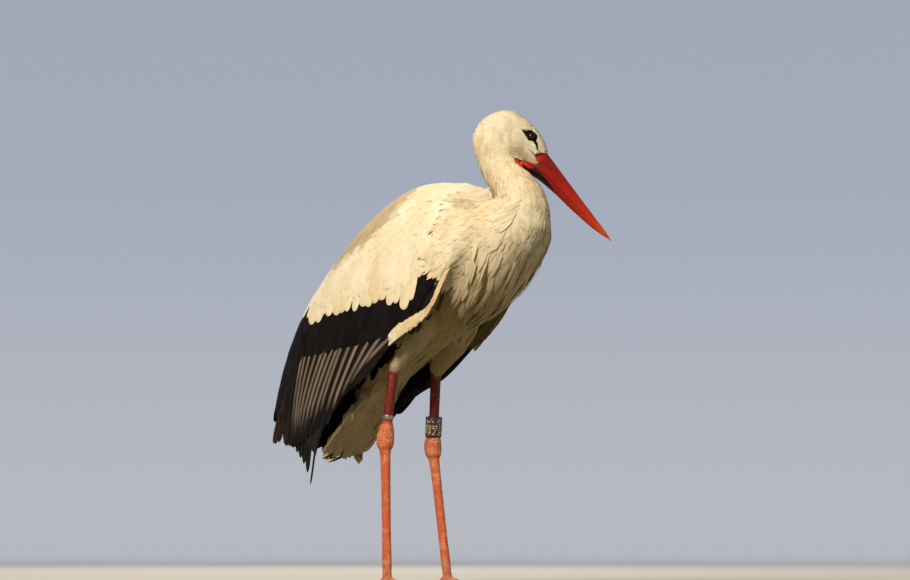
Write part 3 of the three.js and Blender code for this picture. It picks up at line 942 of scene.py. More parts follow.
def leg_shell(side):
    """Shank, ankle, tarsus and foot in one skin, with creases round the joints and a map for the scales."""
    points, normals, quads = remeshed(leg_nodes(side), 1.5, 3)
    ankle, foot, cuff = ANKLES[side], FEET[side], CUFFS[side]
    height = points[:, 2]
    over = height - ankle[2]
    axis_x, axis_y = read_off([(p[2], p[0], p[1]) for p in (foot, ankle, cuff)], height)
    angle = np.arctan2(points[:, 1] - axis_y, points[:, 0] - axis_x)
    from_foot = np.hypot(points[:, 0] - foot[0], points[:, 1] - foot[1])
    creases = np.sin(height * 2 * math.pi / CREASE_PITCH + 2.0 * lumps(points, 6, 8))
    creases = creases * smoothstep(24, 8, np.abs(over))
    scutes = np.sin(height * 2 * math.pi / SCUTE_PITCH + 0.8 * np.sin(angle * 3))
    scutes = scutes * smoothstep(0.2, 0.9, np.cos(angle))
    scutes = scutes * smoothstep(25, 40, height) * smoothstep(-8, -30, over)
    toes = np.sin(from_foot * 2 * math.pi / TOE_PITCH)
    toes = toes * smoothstep(24, 14, height) * smoothstep(12, 20, from_foot)
    knob = smoothstep(-20, -12, over) * smoothstep(28, 8, over)
    knob = knob * (1.7 + 2.2 * (lumps(points, 8, 9) - 0.5)) - 0.7 * np.exp(-(((over + 19) / 1.8) ** 2))
    fuller = 1.3 * smoothstep(18, 45, height) * smoothstep(390, 350, height)
    points = points + normals * (knob + fuller + 0.2 * creases + 0.15 * scutes + 0.16 * toes + 0.1)[:, None]
    points[:, 2] = np.maximum(points[:, 2], 0.05)
    scale_map = np.where(height[:, None] > 22, np.stack([angle * 7.2, height], -1), points[:, :2])
    return points, halved(quads), leg_colour(points, side), scale_map


def skin_materials():
    hide = Paint("hide", 0.7, 0.12)
    colour = hide.darkened(hide.tint(), hide.noise(hide.place(), 320, 4), 0.25)
    folds = hide.noise(hide.place(), 520, 4)
    hide_made = hide.finish(colour, hide.between(0.3, 0.7, folds, 0.45, 0.75), folds, 0.5, 0.6)
    leg = Paint("leg_skin", 0.5, 0.3, Subsurface_Weight=0.04)
    scale = leg.node(
        "ShaderNodeTexVoronoi",
        feature="DISTANCE_TO_EDGE",
        voronoi_dimensions="2D",
        inputs={"Vector": leg.uv("scales"), "Scale": 0.26, "Randomness": 0.75},
    ).outputs["Distance"]
    gap = leg.between(0.02, 0.14, scale, 1, 0)
    grain = leg.noise(leg.place(), 700, 3)
    colour = leg.darkened(leg.tint(), gap, 0.55)
    colour = leg.darkened(colour, grain, 0.22)
    dust = leg.between(0.55, 0.72, leg.noise(leg.place(), 90, 5), 0, 0.25)
    colour = leg.blend(dust, colour, (0.55, 0.33, 0.23, 1))
    raised = leg.math("MULTIPLY_ADD", grain, 0.25, leg.between(0.0, 0.2, scale, 0, 1))
    leg_made = leg.finish(colour, leg.between(0.3, 0.7, grain, 0.38, 0.6), raised, 0.6, 0.7)
    return hide_made, leg_made


def make_skin():
    shells = [flesh_shell()] + [wing_bed(side) for side in SIDES] + [leg_shell(side) for side in SIDES]
    starts = np.cumsum([0] + [len(shell[0]) for shell in shells])
    faces = np.vstack([shell[1] + start for shell, start in zip(shells, starts)])
    points, tints, scales = (np.vstack([shell[k] for shell in shells]) for k in (0, 2, 3))
    skin = mesh_object("skin", points, [faces], tints, {"scales": scales})
    material_index = np.zeros(len(faces), np.int32)
    material_index[-sum(len(shell[1]) for shell in shells[-2:]) :] = 1  # the legs
    for material in skin_materials():
        skin.data.materials.append(material)
    skin.data.polygons.foreach_set("material_index", material_index)
    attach(skin, "root")
    flesh = FLESH + [f"{part}_{side}" for side in SIDES for part in [*LEG_PARTS, "wing"]]
    flesh += [f"toe_{toe}_{side}" for side in SIDES for toe in TOE_NODES]
    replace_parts(skin, *flesh)


# ---- Wings ----

# Top edge (x, y, z), low edge (x, y, z), squareness, swell and thickness, from the shoulder to the tip.
WING = [
    (132, 34, 606, 104, 88, 524, 2, 4, 10),
    (98, 14, 611, 70, 98, 488, 2.4, 4, 18),
    (28, 2, 641, 30, 98, 425, 2.8, 6, 22),
    (-50, 1, 643, -52, 96, 383, 3, 8, 22),
    (-134, 1, 609, -110, 91, 338, 3, 9, 20),
    (-226, 1, 543, -164, 84, 313, 3, 9, 16),
    (-305, 1, 474, -213, 74, 282, 2.8, 8, 12),
    (-364, 3, 399, -256, 59, 247, 2.5, 8, 10),
    (-402, 8, 322, -296, 36, 210, 2.1, 11, 8),
    (-417, 14, 255, -334, 12, 171, 1.6, 16, 5),
    (-416, 16, 212, -340, 9, 160, 1.5, 14, 3),
]
# How far the low edge of the left wing lies from those stations, by station.
TUCKS = {0: (-6, -8, 0), 1: (-12, -10, 0), 2: (-20, -8, 3), 9: (13, 0, 26), 10: (13, 0, 26)}

# Lines over the side of the wing, as (x, z): where the white coverts end, the rows of their tips, the upper
# edge of the tan patch, and where the black coverts end.
WHITE_END = [
    (-282, 426), (-268, 433), (-220, 440), (-177, 445), (-120, 451), (-75, 454), (-38, 453), (-28, 448),
    (-14, 437), (2, 441), (14, 454), (22, 479), (55, 481), (73, 496), (100, 506),
]  # fmt: skip
WHITE_ROW = WHITE_END[1:9]
WHITE_FRONT_ROW = [(20, 484), (52, 485), (84, 500)]
TAN_EDGE = [(-230, 500), (-190, 520), (-130, 545), (-80, 575), (-50, 603)]
BLACK_END = [
    (-310, 368), (-288, 374), (-250, 378), (-211, 382), (-170, 385), (-134, 388), (-100, 392), (-71, 397),
    (-43, 391),
]  # fmt: skip
BLACK_FRONT = [(-71, 397), (-44, 391), (-20, 405), (0, 425), (22, 448), (44, 468), (60, 480)]
# On the inner face: black feathers below the first line, and no small ones below the second.
LINING_END = [(-300, 348), (-150, 364), (-86, 394), (-62, 404), (-50, 380), (60, 430)]
LINING_TIP = [(-400, 345), (-330, 305), (-256, 275), (100, 200)]
# Which way the feathers lie over the side of the wing: places (x, z) and directions (x, z).
WING_LIE = np.array([
    (110, 590, -0.55, -0.83), (90, 520, -0.35, -0.94), (60, 620, -0.90, -0.44),
    (20, 560, -0.62, -0.78), (30, 480, -0.12, -0.99), (-40, 640, -0.98, -0.20),
    (-50, 560, -0.80, -0.60), (-60, 480, -0.25, -0.97), (-140, 590, -0.86, -0.51),
    (-140, 520, -0.68, -0.73), (-130, 455, -0.32, -0.95), (-200, 530, -0.72, -0.69),
    (-220, 450, -0.48, -0.88), (-270, 470, -0.60, -0.80), (-290, 420, -0.52, -0.85),
    (-200, 390, -0.50, -0.86), (-100, 400, -0.50, -0.86), (-330, 380, -0.45, -0.89),
    (-360, 300, -0.35, -0.94),
])  # fmt: skip


def wing_stations(side):
    rows = np.array(WING, float)
    if side == "left":
        for station, tuck in TUCKS.items():
            rows[station, 3:6] += tuck
    return rows


def wing_at(side, s, t):
    """Places on the wing's outer face: s from shoulder to tip, t from the top edge to the low edge."""
    s, t = np.broadcast_arrays(np.asarray(s, float), np.asarray(t, float))
    row = smooth_run(wing_stations(side), s)
    top_x, top_y, top_z, low_x, low_y, low_z, square, swell, _ = np.moveaxis(row, -1, 0)
    turn = np.clip(t, 0, 1) * math.pi / 2
    out = np.sin(turn) ** (2 / square)
    down = 1 - np.maximum(np.cos(turn), 0) ** (2 / square)
    x = top_x * (1 - down) + low_x * down
    y = top_y * (1 - out) + low_y * out + swell * np.sin(math.pi * np.sqrt(down))
    z = top_z * (1 - down) + low_z * down
    return np.stack([x, y * SIDES[side], z], -1)


def wing_grid(side, s, t):
    """The same over a grid, with outward normals and thickness."""
    points = wing_at(side, s[:, None], t[None])
    normals = unit(np.cross(np.gradient(points, axis=0), np.gradient(points, axis=1)))
    if normals[len(s) // 3, len(t) // 2, 1] * SIDES[side] < 0:
        normals = -normals
    thick = smooth_run(wing_stations(side)[:, 8:], s)
    return points, normals, np.broadcast_to(thick, points.shape[:2])


def wing_guides(side):
    """The outer face and the inner face, as surfaces to lay feathers on, with their normals outwards."""
    rows, columns = 150, 60
    s, t = np.linspace(0, 1, rows), 1 - (1 - np.linspace(0, 1, columns)) ** 1.5
    points, normals, thick = wing_grid(side, s, t)
    i, j = np.meshgrid(np.arange(rows - 1), np.arange(columns - 1), indexing="ij")
    a = i * columns + j
    quads = np.stack([a, a + 1, a + columns + 1, a + columns], -1).reshape(-1, 4)
    made = []
    for sheet, out in ((points, 1), (points - normals * thick[..., None], -1)):
        guide = Guide(sheet.reshape(-1, 3), quads)
        _, facing = guide.nearest(sheet[50, 30][None])
        if (facing[0] @ normals[50, 30]) * out < 0:
            guide = Guide(sheet.reshape(-1, 3), quads[:, ::-1])
        made.append(guide)
    return made


def on_side(side, places, guide):
    """Places (x, z) on the side of a wing."""
    places = np.asarray(places, float)
    points = np.stack([places[:, 0], np.full(len(places), 90.0 * SIDES[side]), places[:, 1]], -1)
    return guide.hit(points, (0, -SIDES[side], 0))


def wing_lie(points):
    distance = np.linalg.norm(points[:, None, [0, 2]] - WING_LIE[:, :2], axis=-1)
    way = (distance + 5) ** -3.0 @ WING_LIE[:, 2:]
    return unit(np.stack([way[:, 0], 0 * way[:, 0], way[:, 1]], -1))


def wing_map(side):
    """A tree of places on the wing's outer face, with their (s, t), normals and thickness."""
    s, t = np.linspace(0, 1, 220), np.linspace(0, 1, 90)
    points, normals, thick = wing_grid(side, s, t)
    points, normals = points.reshape(-1, 3), normals.reshape(-1, 3)
    tree = KDTree(len(points))
    for i, place in enumerate(points.tolist()):
        tree.insert(place, i)
    tree.balance()
    grid = np.stack(np.meshgrid(s, t, indexing="ij"), -1).reshape(-1, 2)
    return tree, points, normals, thick.ravel(), grid


WING_MAPS = {side: wing_map(side) for side in SIDES}


def wing_unwrap(points):
    """Along and across the wing, with the outer and the inner face of each wing in a quarter of the map."""
    made = np.zeros((len(points), 2))
    for column, (side, sign) in enumerate(SIDES.items()):
        tree, places, normals, thick, grid = WING_MAPS[side]
        mine = np.flatnonzero((points[:, 1] >= 0) == (sign > 0))
        index = np.array([tree.find(p)[1] for p in points[mine].tolist()], int)
        depth = dot(places[index] - points[mine], normals[index])[:, 0]
        corner = np.stack([np.full(len(mine), column), depth > thick[index] / 2], -1)
        made[mine] = 0.02 + 0.5 * corner + 0.45 * grid[index]
    return made


def height_over(line, points):
    (height,) = read_off(line, points[:, 0])
    return points[:, 2] - height


def wing_colour(points):
    """White with cream clouds and a tan patch on the upper back, partly stained and partly painted shade, and
    black below the white coverts.
    """
    colour = mix(WHITE, CREAM, 0.6 * smoothstep(0.35, 0.9, lumps(points, 45, 11)))
    patch = smoothstep(-10, 14, height_over(TAN_EDGE, points) + 24 * (lumps(points, 22, 12) - 0.5))
    patch = patch * smoothstep(-265, -225, points[:, 0]) * smoothstep(-35, -75, points[:, 0])
    colour = mix(colour, TAN, 0.85 * patch)
    return mix(colour, BLACK, smoothstep(2, -6, height_over(WHITE_END, points)))


def covert_colour(points):
    """The white coverts' own colour, also where their tips hang over the black ones."""
    lifted = points.copy()
    lifted[:, 2] = np.maximum(lifted[:, 2], lifted[:, 2] - height_over(WHITE_END, lifted) + 8)
    return wing_colour(lifted)


def lining_colour(points):
    # Painted shade of the underside over the inner face, with black feathers below the line.
    black = smoothstep(14, -14, height_over(LINING_END, points) + 20 * (lumps(points, 20, 25) - 0.5))
    return mix(SHADED_LINING, BLACK * 1.5, black)


def plate(outer, inner, side):
    """The outer and inner faces of a wing, as grids of points, joined to one closed mesh of triangles."""
    ring = np.concatenate([outer, inner[:, ::-1]], 1)
    sides, start, end = tube(*ring.shape[:2])
    caps = []
    for loop in (start[0], end[0]):
        for k in range(len(loop) // 2 - 1):
            a, b, c, d = loop[k], loop[k + 1], loop[-k - 2], loop[-k - 1]
            caps += [(a, b, c), (a, c, d)]
    triangles = np.vstack([halved(sides), caps])
    return ring.reshape(-1, 3), triangles[:, ::-1] if SIDES[side] > 0 else triangles


def wing_front(side):
    """The front half of a wing in its full thickness."""
    across = 1 - (1 - np.linspace(0, 0.99, 40)) ** 1.5
    points, normals, thick = wing_grid(side, np.linspace(0, 0.5, 60), across)
    return plate(points, points - normals * thick[..., None], side)


def wing_bed(side):
    """Flesh and hidden feather bases of a wing, as a plate that the feathers cover on both faces."""
    s, t = np.linspace(0.09, 0.79, 90), 1 - 0.98 * (1 - np.linspace(0, 0.985, 48)) ** 1.8
    points, normals, thick = wing_grid(side, s, t)
    ends = smoothstep(0.79, 0.72, s) * smoothstep(0.08, 0.16, s)
    taper = np.minimum(ends[:, None], smoothstep(0.0005, 0.0065, 1 - t)[None])
    depth = 3.2 + 1.2 * (1 - taper)
    inner_depth = np.maximum((thick - 3.5) * taper, depth + 0.8)
    outer, inner = (points - normals * deep[..., None] for deep in (depth, inner_depth))
    ring, triangles = plate(outer, inner, side)
    lining = np.tile(np.arange(2 * len(t)) >= len(t), len(s))
    colour = np.where(lining[:, None], lining_colour(ring), wing_colour(ring) * 0.85)
    return ring, triangles, colour, np.zeros((len(ring), 2))


def coloured(colour_at, vary=0.04, shaded=0.12):
    """A tint that takes each feather's colour from where its tip lies."""

    def tint(points, across, along):
        n = len(points)
        base = colour_at(points[:, -1])[:, None] * (1 + vary * rng.standard_normal((n, 1, 1)))
        # shaded darkens each feather towards its root: painted shade where the feathers overlap.
        return base * (1 - shaded + shaded * smoothstep(0, 0.6, along))[..., None]

    return tint


def line_points(line, pitch, jitter=0.12):
    """Places about pitch apart along a line of (x, z)."""
    line = np.array(line, float)
    steps = np.concatenate([[0], np.cumsum(np.linalg.norm(np.diff(line, axis=0), axis=1))])
    count = int(steps[-1] / pitch)
    at = (np.arange(count) + 0.5 + jitter * rng.standard_normal(count)) * steps[-1] / count
    return np.stack([np.interp(at, steps, line[:, k]) for k in (0, 1)], -1)


WING_FRONT = np.array([WING[0][:3], WING[0][3:6], WING[1][3:6]], float)


def from_front(points, corners=2):
    """How far points are from the wings' front edges, which the breast's feathers cover."""
    left = np.where([False, True, False], np.abs(points), points)
    distance, _ = to_segments(left, WING_FRONT[: corners - 1], WING_FRONT[1:corners])
    return distance.min(1)


def covert_rows(vanes, side, guide, rows, stray, spread, lift, halves, twist, tint, camber):
    """Rows of coverts with their tips along lines.

    Each row is (line, how far above it, pitch, length, share of the width).
    """
    for line, rise, pitch, size, width in rows:
        places = line_points(line, pitch)
        n = len(places)
        places[:, 1] += rise + rng.uniform(*stray, n)
        tips = on_side(side, places, guide)
        length = size * rng.uniform(*spread, n)
        lifts = lift[0], lift[1] + lift[2] * rng.random(n)
        half = width * rng.uniform(*halves, n)
        bend = twist * rng.standard_normal(n)
        vanes.lay(guide, tips, wing_lie, length, lifts, half, LONG, tint, camber, 0.3, 5, bend)


COVERT_SIZES = [(0, 62, 9.5), (40, 50, 8.2), (90, 34, 6.2), (150, 26, 5.0), (240, 24, 4.6)]


def white_coverts(side, guide):
    vanes = Vanes(f"white_coverts_{side}", wing_unwrap)
    tint = coloured(covert_colour)

    def keep(p):
        return (height_over(WHITE_END, p) > np.where(p[:, 0] > 10, 15, 8)) & (from_front(p) > 27)

    def spacing(p):
        length, half = read_off(COVERT_SIZES, height_over(WHITE_END, p))
        return 0.46 * np.sqrt(length * 2 * half)

    tips = guide.scatter(spacing, keep)
    n = len(tips)
    length, half = read_off(COVERT_SIZES, height_over(WHITE_END, tips))
    length = length * rng.uniform(0.85, 1.15, n)
    lift = -1.9, rng.uniform(-0.5, 0.2, n)
    bend = 0.03 * rng.standard_normal(n)
    vanes.lay(guide, tips, wing_lie, length, lift, half, ROUND, tint, 0.16, 0.25, bend=bend)
    front = [(WHITE_FRONT_ROW, rise, 13, 45, 1) for rise in (20, 9)]
    rows = [(WHITE_ROW, 34, 14, 60, 1), (WHITE_ROW, 17, 15, 66, 1), *front, (WHITE_ROW, 0, 17, 72, 1)]
    covert_rows(vanes, side, guide, rows, (-7, 4), (0.88, 1.1), (-2.4, 0.5, 0.4), (8, 13.5), 0.03, tint, 0.14)
    return vanes


def ridge(vanes, tips, tint):
    """Feathers that bridge the wings' top edges, with their tips at these x."""
    top = np.array([row[:3] for row in WING[:8]], float)[::-1]
    for x in tips:
        line = x + 75 * (1 - LONG[:, 0])
        z = np.interp(line, top[:, 0], top[:, 2]) + 1.0
        path = np.stack([line, np.full(len(line), rng.uniform(-5, 5)), z], -1)[None]
        normals = np.broadcast_to([0.0, 0.0, 1.0], path.shape)
        vanes.add(path, normals, 8.5, LONG, tint, 0.3, 0.3, 5, offset=raised(1, LONG, -3.0, 1.2))


def on_back(points):
    top = np.interp(points[:, 0], [-250, -150, 0, 100], [500, 560, 610, 600])
    return (points[:, 2] > top) & (points[:, 0] > -262) & (from_front(points) > 48)


def scapulars(guides):
    """Long white feathers over the shoulders and back, which bridge the wings' top edges."""
    vanes = Vanes("scapulars", wing_unwrap)
    tint = coloured(covert_colour)
    for guide in guides.values():
        tips = guide.scatter(12.5, on_back)
        n = len(tips)
        path, normals = from_tips(guide, tips, wing_lie, rng.uniform(52, 84, n), LONG)
        path[..., 1] *= np.where(np.abs(path[..., 1]) < 12, 0.9, 1)
        lift = raised(n, LONG, -1.4, rng.uniform(-0.3, 0.3, n))
        half = rng.uniform(8, 11.5, n)
        bend = 0.02 * rng.standard_normal(n)
        vanes.add(path, normals, half, LONG, tint, 0.16, 0.3, 5, bend=bend, offset=lift)
    ridge(vanes, np.arange(80, -285, -9.0), tint)
    return vanes


STAIN = np.array([0.50, 0.28, 0.12])
WRIST_S, HOOK_S, TUFT_S = 0.10, 0.302, 0.29  # along the wing, as wing_at's s


def edge_strip(side, guide):
    """Small cream feathers along the wing's leading edge, from the wrist to a ragged tuft at the hook."""
    vanes = Vanes(f"leading_edge_{side}", wing_unwrap)
    n = 620
    s = np.sort(rng.uniform(WRIST_S, HOOK_S, n))
    width = np.interp(s, [WRIST_S, 0.13, 0.20, 0.27, HOOK_S], [1, 3, 8, 12, 11])
    t = 1 - 0.637 * (width * rng.random(n) / 210) ** 1.4
    tips = wing_at(side, s, t)
    tips[:, 1] += -SIDES[side] * rng.uniform(0, 7, n) * (t > 0.998)

    def heading(p):
        return np.broadcast_to(unit(np.array([-0.72, 0, -0.69])), p.shape)

    colour = mix(CREAM, STAIN, 0.6 * np.clip(lumps(tips, 16, 21) * 1.8 - 0.8, 0, 1))
    colour = mix(colour, WHITE, smoothstep(0.275, 0.295, s))
    tuft = s > TUFT_S
    length = rng.uniform(12, 19, n) * np.where(tuft, 1.25, 1)
    lift = -0.5, rng.uniform(0.3, 1.5, n) + tuft
    vanes.lay(guide, tips, heading, length, lift, rng.uniform(1.5, 2.6, n), LOOSE, plain(colour, 0.06), 0.3)
    return vanes


def lined(side, points):
    """Where small feathers cover the inner face: far enough in that none sticks out past the leading edge."""
    edge = wing_at(side, np.linspace(0.05, 0.9, 60), 1.0)
    distance, _ = to_segments(points, edge[:-1], edge[1:])
    return (points[:, 0] < 95) & (distance.min(1) > 15) & (height_over(LINING_TIP, points) > 0)


def behind_shafts(points):
    """The rear edge of the wing, behind the silver feathers and below the white ones."""
    edge = np.interp(points[:, 2], [258, 352, 430], [-364, -326, -292])
    return (height_over(WHITE_END, points) < 8) & (points[:, 2] > 268) & (points[:, 0] < edge)


def black_coverts(side, guide, inner):
    """The black coverts below the white ones, the rear edge, and the small feathers of the inner face."""
    vanes = Vanes(f"black_coverts_{side}", wing_unwrap)
    tint = plain(BLACK, 0.25)
    rows = [
        (BLACK_END, 40, 15, 75, 1),
        (BLACK_FRONT, 6, 12, 50, 0.95),
        (BLACK_END, 20, 16, 85, 1),
        (BLACK_END, 0, 17, 92, 1),
    ]
    lift = -2.8, -0.9, 0.3
    covert_rows(vanes, side, guide, rows, (-3, 3), (0.92, 1.08), lift, (11, 13), 0.04, tint, 0.12)
    rear = guide.scatter(14, behind_shafts)
    n = len(rear)
    length = rng.uniform(70, 95, n)
    lift = -2.6, rng.uniform(-0.8, -0.2, n)
    vanes.lay(guide, rear, wing_lie, length, lift, rng.uniform(8.5, 11, n), LONG, tint, 0.12, 0.3, 5)
    if side == "left":
        ridge(vanes, np.arange(-322, -370, -8.0), tint)
    under = inner.scatter(13, lambda p: lined(side, p))
    n = len(under)
    length = rng.uniform(38, 60, n)
    # The small feathers take the inner face's colour, with its painted shade.
    tint = plain(lining_colour(under), 0.06)
    vanes.lay(inner, under, wing_lie, length, (-1.0, 1.4), rng.uniform(7, 10, n), ROUND, tint, 0.15)
    return vanes


# Shafts of the secondaries from the rear to the front: where the silver web shows first, and where it ends,
# as (x, z).
SHAFTS = [
    (-318, 352, -357, 258), (-299, 354, -344, 260), (-277, 363, -335, 256), (-249, 368, -325, 258),
    (-221, 375, -303, 265), (-199, 377, -273, 278), (-180, 377, -241, 288), (-145, 384, -214, 294),
    (-104, 390, -168, 326), (-64, 395, -122, 361),
]  # fmt: skip
SECONDARIES = 15
PRIMARIES = 10
TERTIALS = [(-318, 372, -384, 248), (-332, 366, -397, 240), (-342, 352, -404, 238), (-306, 372, -368, 246)]
OUTER_WEB, INNER_WEB = 8.4, 17.5  # how far each vane reaches from the shaft, mm


def flight_paths(side, guide, rows, reach_back, reach_on):
    """Paths through start and end places (x0, z0, x1, z1), carried on past both."""
    rows = np.array(rows, float)
    start, end = rows[:, :2], rows[:, 2:]
    way = unit(end - start)
    root, tip = start - way * reach_back, end + way * reach_on[:, None]
    places = root[:, None] + (tip - root)[:, None] * STIFF[:, :1]
    path = on_side(side, places.reshape(-1, 2), guide)
    _, normals = guide.nearest(path)
    return path.reshape(len(rows), -1, 3), normals.reshape(len(rows), -1, 3)


def secondaries(vanes, side, guide):
    """Black feathers with a silver outer web that fades out before the tip."""
    sign = -SIDES[side]
    rows = smooth_run(SHAFTS, np.linspace(0, 1, SECONDARIES))
    rows += rng.normal(0, 1.2, rows.shape)
    order = np.arange(SECONDARIES)
    reach_on = np.interp(order, [0, 6, 10, 14], [30, 34, 44, 50.0])
    path, normals = flight_paths(side, guide, rows, 70, reach_on)
    total = np.linalg.norm(np.diff(path, axis=1), axis=-1).sum(1)
    ends = 0.94 * (1 - reach_on / total)[:, None]

    def silver(points, across, along):
        out = across * sign
        web = smoothstep(0.2, 1.6, out) * smoothstep(OUTER_WEB + 0.2, OUTER_WEB - 1.4, out)
        fade = smoothstep(0.06, -0.10, along - ends + 0.05 * (lumps(points, 9, 31) - 0.5))
        worn = 0.70 + 0.55 * lumps(points, 12, 32)
        tone = (1 + 0.10 * rng.standard_normal((len(points), 1)))[..., None]
        brown = smoothstep(2.2, 0.6, order)[:, None] * smoothstep(0.35, 0.6, along)
        return mix(mix(BLACK * 1.3, SILVER, web * fade * worn) * tone, BROWN, 0.6 * brown)

    lift = np.broadcast_to((-1.6 - 0.09 * order)[:, None], path.shape[:2])
    half = (OUTER_WEB + INNER_WEB) / 2
    shift = sign * (OUTER_WEB - INNER_WEB) / (2 * half)
    vanes.add(path, normals, half, STIFF, silver, 0.04, 0.35, 11, sign * 0.075, lift, shift)


def primaries(vanes, side, guide):
    """Black feathers below the secondaries. The longest of the right wing ends in a needle."""
    needle = 0.055 if side == "right" else 0.0
    for k in range(PRIMARIES):
        share = k / (PRIMARIES - 1)
        s_run = [0.26 + 0.02 * share, 0.83 + 0.04 * share + needle * share**12]
        t_run = [0.66 + 0.25 * share, 0.68 + 0.29 * share, 0.54 + 0.40 * share + 0.05 * share**12]
        s = np.interp(STIFF[:, 0], [0, 1], s_run)
        t = np.interp(STIFF[:, 0], [0, 0.6, 1], t_run)
        line = wing_at(side, s, t)
        _, facing = guide.nearest(line)
        half = 11.5 - 2.5 * share**2 - 6.2 * share**16
        tint = plain(BLACK * 1.1, 0.1, BLACK * 2)
        bend = -SIDES[side] * 0.05
        vanes.add(line[None], facing[None], half, STIFF, tint, 0.06, 0.4, 7, bend, -2.6 - 0.45 * k)


def flight_feathers(side, guide):
    vanes = Vanes(f"flight_feathers_{side}", wing_unwrap)
    secondaries(vanes, side, guide)
    primaries(vanes, side, guide)
    return vanes


def tertials(side, guide):
    """Worn brown feathers along the rear edge, over the secondaries."""
    vanes = Vanes(f"tertials_{side}", wing_unwrap)
    path, normals = flight_paths(side, guide, TERTIALS, 80, np.array([10.0, 4, 0, 12]))
    tone = np.array([BLACK * 1.3, BROWN * 0.7, BROWN, BLACK * 1.2])
    tint = plain(tone, 0.1, BROWN * 1.3, 0.7)
    vanes.add(path, normals, 9.0, STIFF, tint, 0.06, 0.35, 7, -SIDES[side] * 0.05, -0.5)
    return vanes


# ---- Tail ----

RECTRICES = 12
TAIL_ROOT, TAIL_TIP = np.array([-128, 0, 352.0]), np.array([-268, 0, 212.0])


def tail_feathers():
    vanes = Vanes("tail_feathers", body_unwrap)
    shares = STIFF[:, 0]
    tint = plain(WHITE * 0.92, 0.03)
    for k in range(RECTRICES):
        out = (k - (RECTRICES - 1) / 2) / (RECTRICES / 2)
        root = TAIL_ROOT + [0, out * 12, 2 - 6 * abs(out)]
        tip = TAIL_TIP + [10 * out**2, out * 44, 10 * out**2]
        line = root + (tip - root) * shares[:, None]
        line[:, 2] += 5 * np.sin(shares * math.pi)
        normals = unit(np.array([-0.7, out * 0.35, 0.72])) + 0 * line
        vanes.add(line[None], normals[None], 15.5, STIFF, tint, 0.06, 0.5, 7, offset=3.6 * (1 - abs(out)))
    return vanes


# ---- Body coat ----

# Length and half width of the body's feathers, by arc length along the spine.
COAT_SIZES = [
    (0, 5.5, 0.95), (40, 6.5, 1.15), (80, 9, 1.4), (105, 13, 1.6), (150, 22, 1.9), (200, 30, 2.3),
    (240, 46, 3.2), (285, 58, 4.2), (340, 50, 6.0), (420, 40, 7.5), (600, 38, 7.5), (700, 50, 8.0),
    (800, 60, 9.0),
]  # fmt: skip


def coat_size(points):
    arc, _ = along_spine(points)
    length, half = read_off(COAT_SIZES, arc)
    thigh = on_thigh(points)
    return np.where(thigh, 19, length), np.where(thigh, 3.2, half)


def under_wing(points):
    """Where the folded wings hide the trunk."""
    low = np.array(WING, float)[::-1, [3, 5]]
    edge = np.interp(points[:, 0], low[:, 0], low[:, 1])
    return (points[:, 0] < 92) & (points[:, 2] > edge + 78) & (points[:, 2] < 640)


def wander(points, size, seeds):
    """Directions that wander over the surface."""
    return np.stack([lumps(points, size, seed) - 0.5 for seed in seeds], -1)


def fixed(ways):
    """A heading that is the same all along each feather."""
    return lambda points: ways


def body_coat(name, guide, arcs, outline, density, lift, fall, camber, spread, longer):
    """Feathers rooted over a stretch of the body."""
    vanes = Vanes(name, body_unwrap)

    def keep(p):
        arc, _ = along_spine(p)
        arc = arc + 14 * (lumps(p, 8, 41) - 0.5)
        bare = np.minimum(*face_marks(p)) < 0.3
        return (arc > arcs[0]) & (arc <= arcs[1]) & ~bare & ~under_wing(p) & (p[:, 2] > 262)

    def spacing(p):
        length, half = coat_size(p)
        return density * np.sqrt(length * 2 * half)

    roots = guide.scatter(spacing, keep)
    n = len(roots)
    length, half = coat_size(roots)
    length = length * longer * rng.uniform(0.75, 1.2, n)
    half = half * rng.uniform(0.8, 1.2, n)
    swing = spread * (0.5 * rng.standard_normal((n, 3)) + 4 * wander(roots, 24, (61, 62, 63)))

    def heading(p):
        return unit(body_lie(p, fall)) + swing

    path, _ = guide.grow(roots, heading, length, outline[:, 0])
    length = np.where(np.minimum(*face_marks(path[:, -1])) < -0.3, 0.35 * length, length)
    depth = coat_depth(roots)
    tip_lift = rng.uniform(*lift, n) + (lift[1] - lift[0]) * 1.6 * (lumps(roots, 17, 64) - 0.5)
    lifts = -0.34 * depth, tip_lift * np.minimum(1, depth / 3)
    bend = 0.07 * rng.standard_normal(n)
    tint = coloured(body_colour, 0.05, 0.13)
    vanes.lay(guide, roots, heading, length, lifts, half, outline, tint, camber, 0.2, 3, bend, False)
    return vanes


# Where the cheek's feathers reach forward over the bill's base, in the head's frame.
LOBE = [
    (42, -25), (48, -26), (50, -30), (53, -34), (53.5, -37), (50, -38.2), (44, -36.2), (37, -33), (36, -28),
]  # fmt: skip


def cheek_lobe(vanes):
    points, _, quads = remeshed(["head", "bill_upper", "bill_lower"], 1.5, 3)
    guide = Guide(points, quads)

    def keep(p):
        local = to_head(p)
        return (outside(local[:, [0, 2]], LOBE) < 0) & (np.abs(local[:, 1]) > 6)

    roots = guide.scatter(1.25, keep)
    n = len(roots)
    length = rng.uniform(4.5, 6.5, n)
    lift = 0.1, rng.uniform(0.7, 1.1, n)
    half = rng.uniform(0.8, 1.1, n)
    tint = coloured(body_colour, 0.05, 0.13)
    vanes.lay(guide, roots, body_lie, length, lift, half, HAIRY, tint, 0.15, 0.2, tips=False)


def on_shoulder(points):
    x, y, z = points.T
    low = np.interp(x, [60, 110], [534, 478])
    high = np.interp(x, [100, 130], [632, 612])
    return (from_front(points, 3) < 48) & (x > 58) & (z > low) & (z < high) & (np.abs(y) > 16)


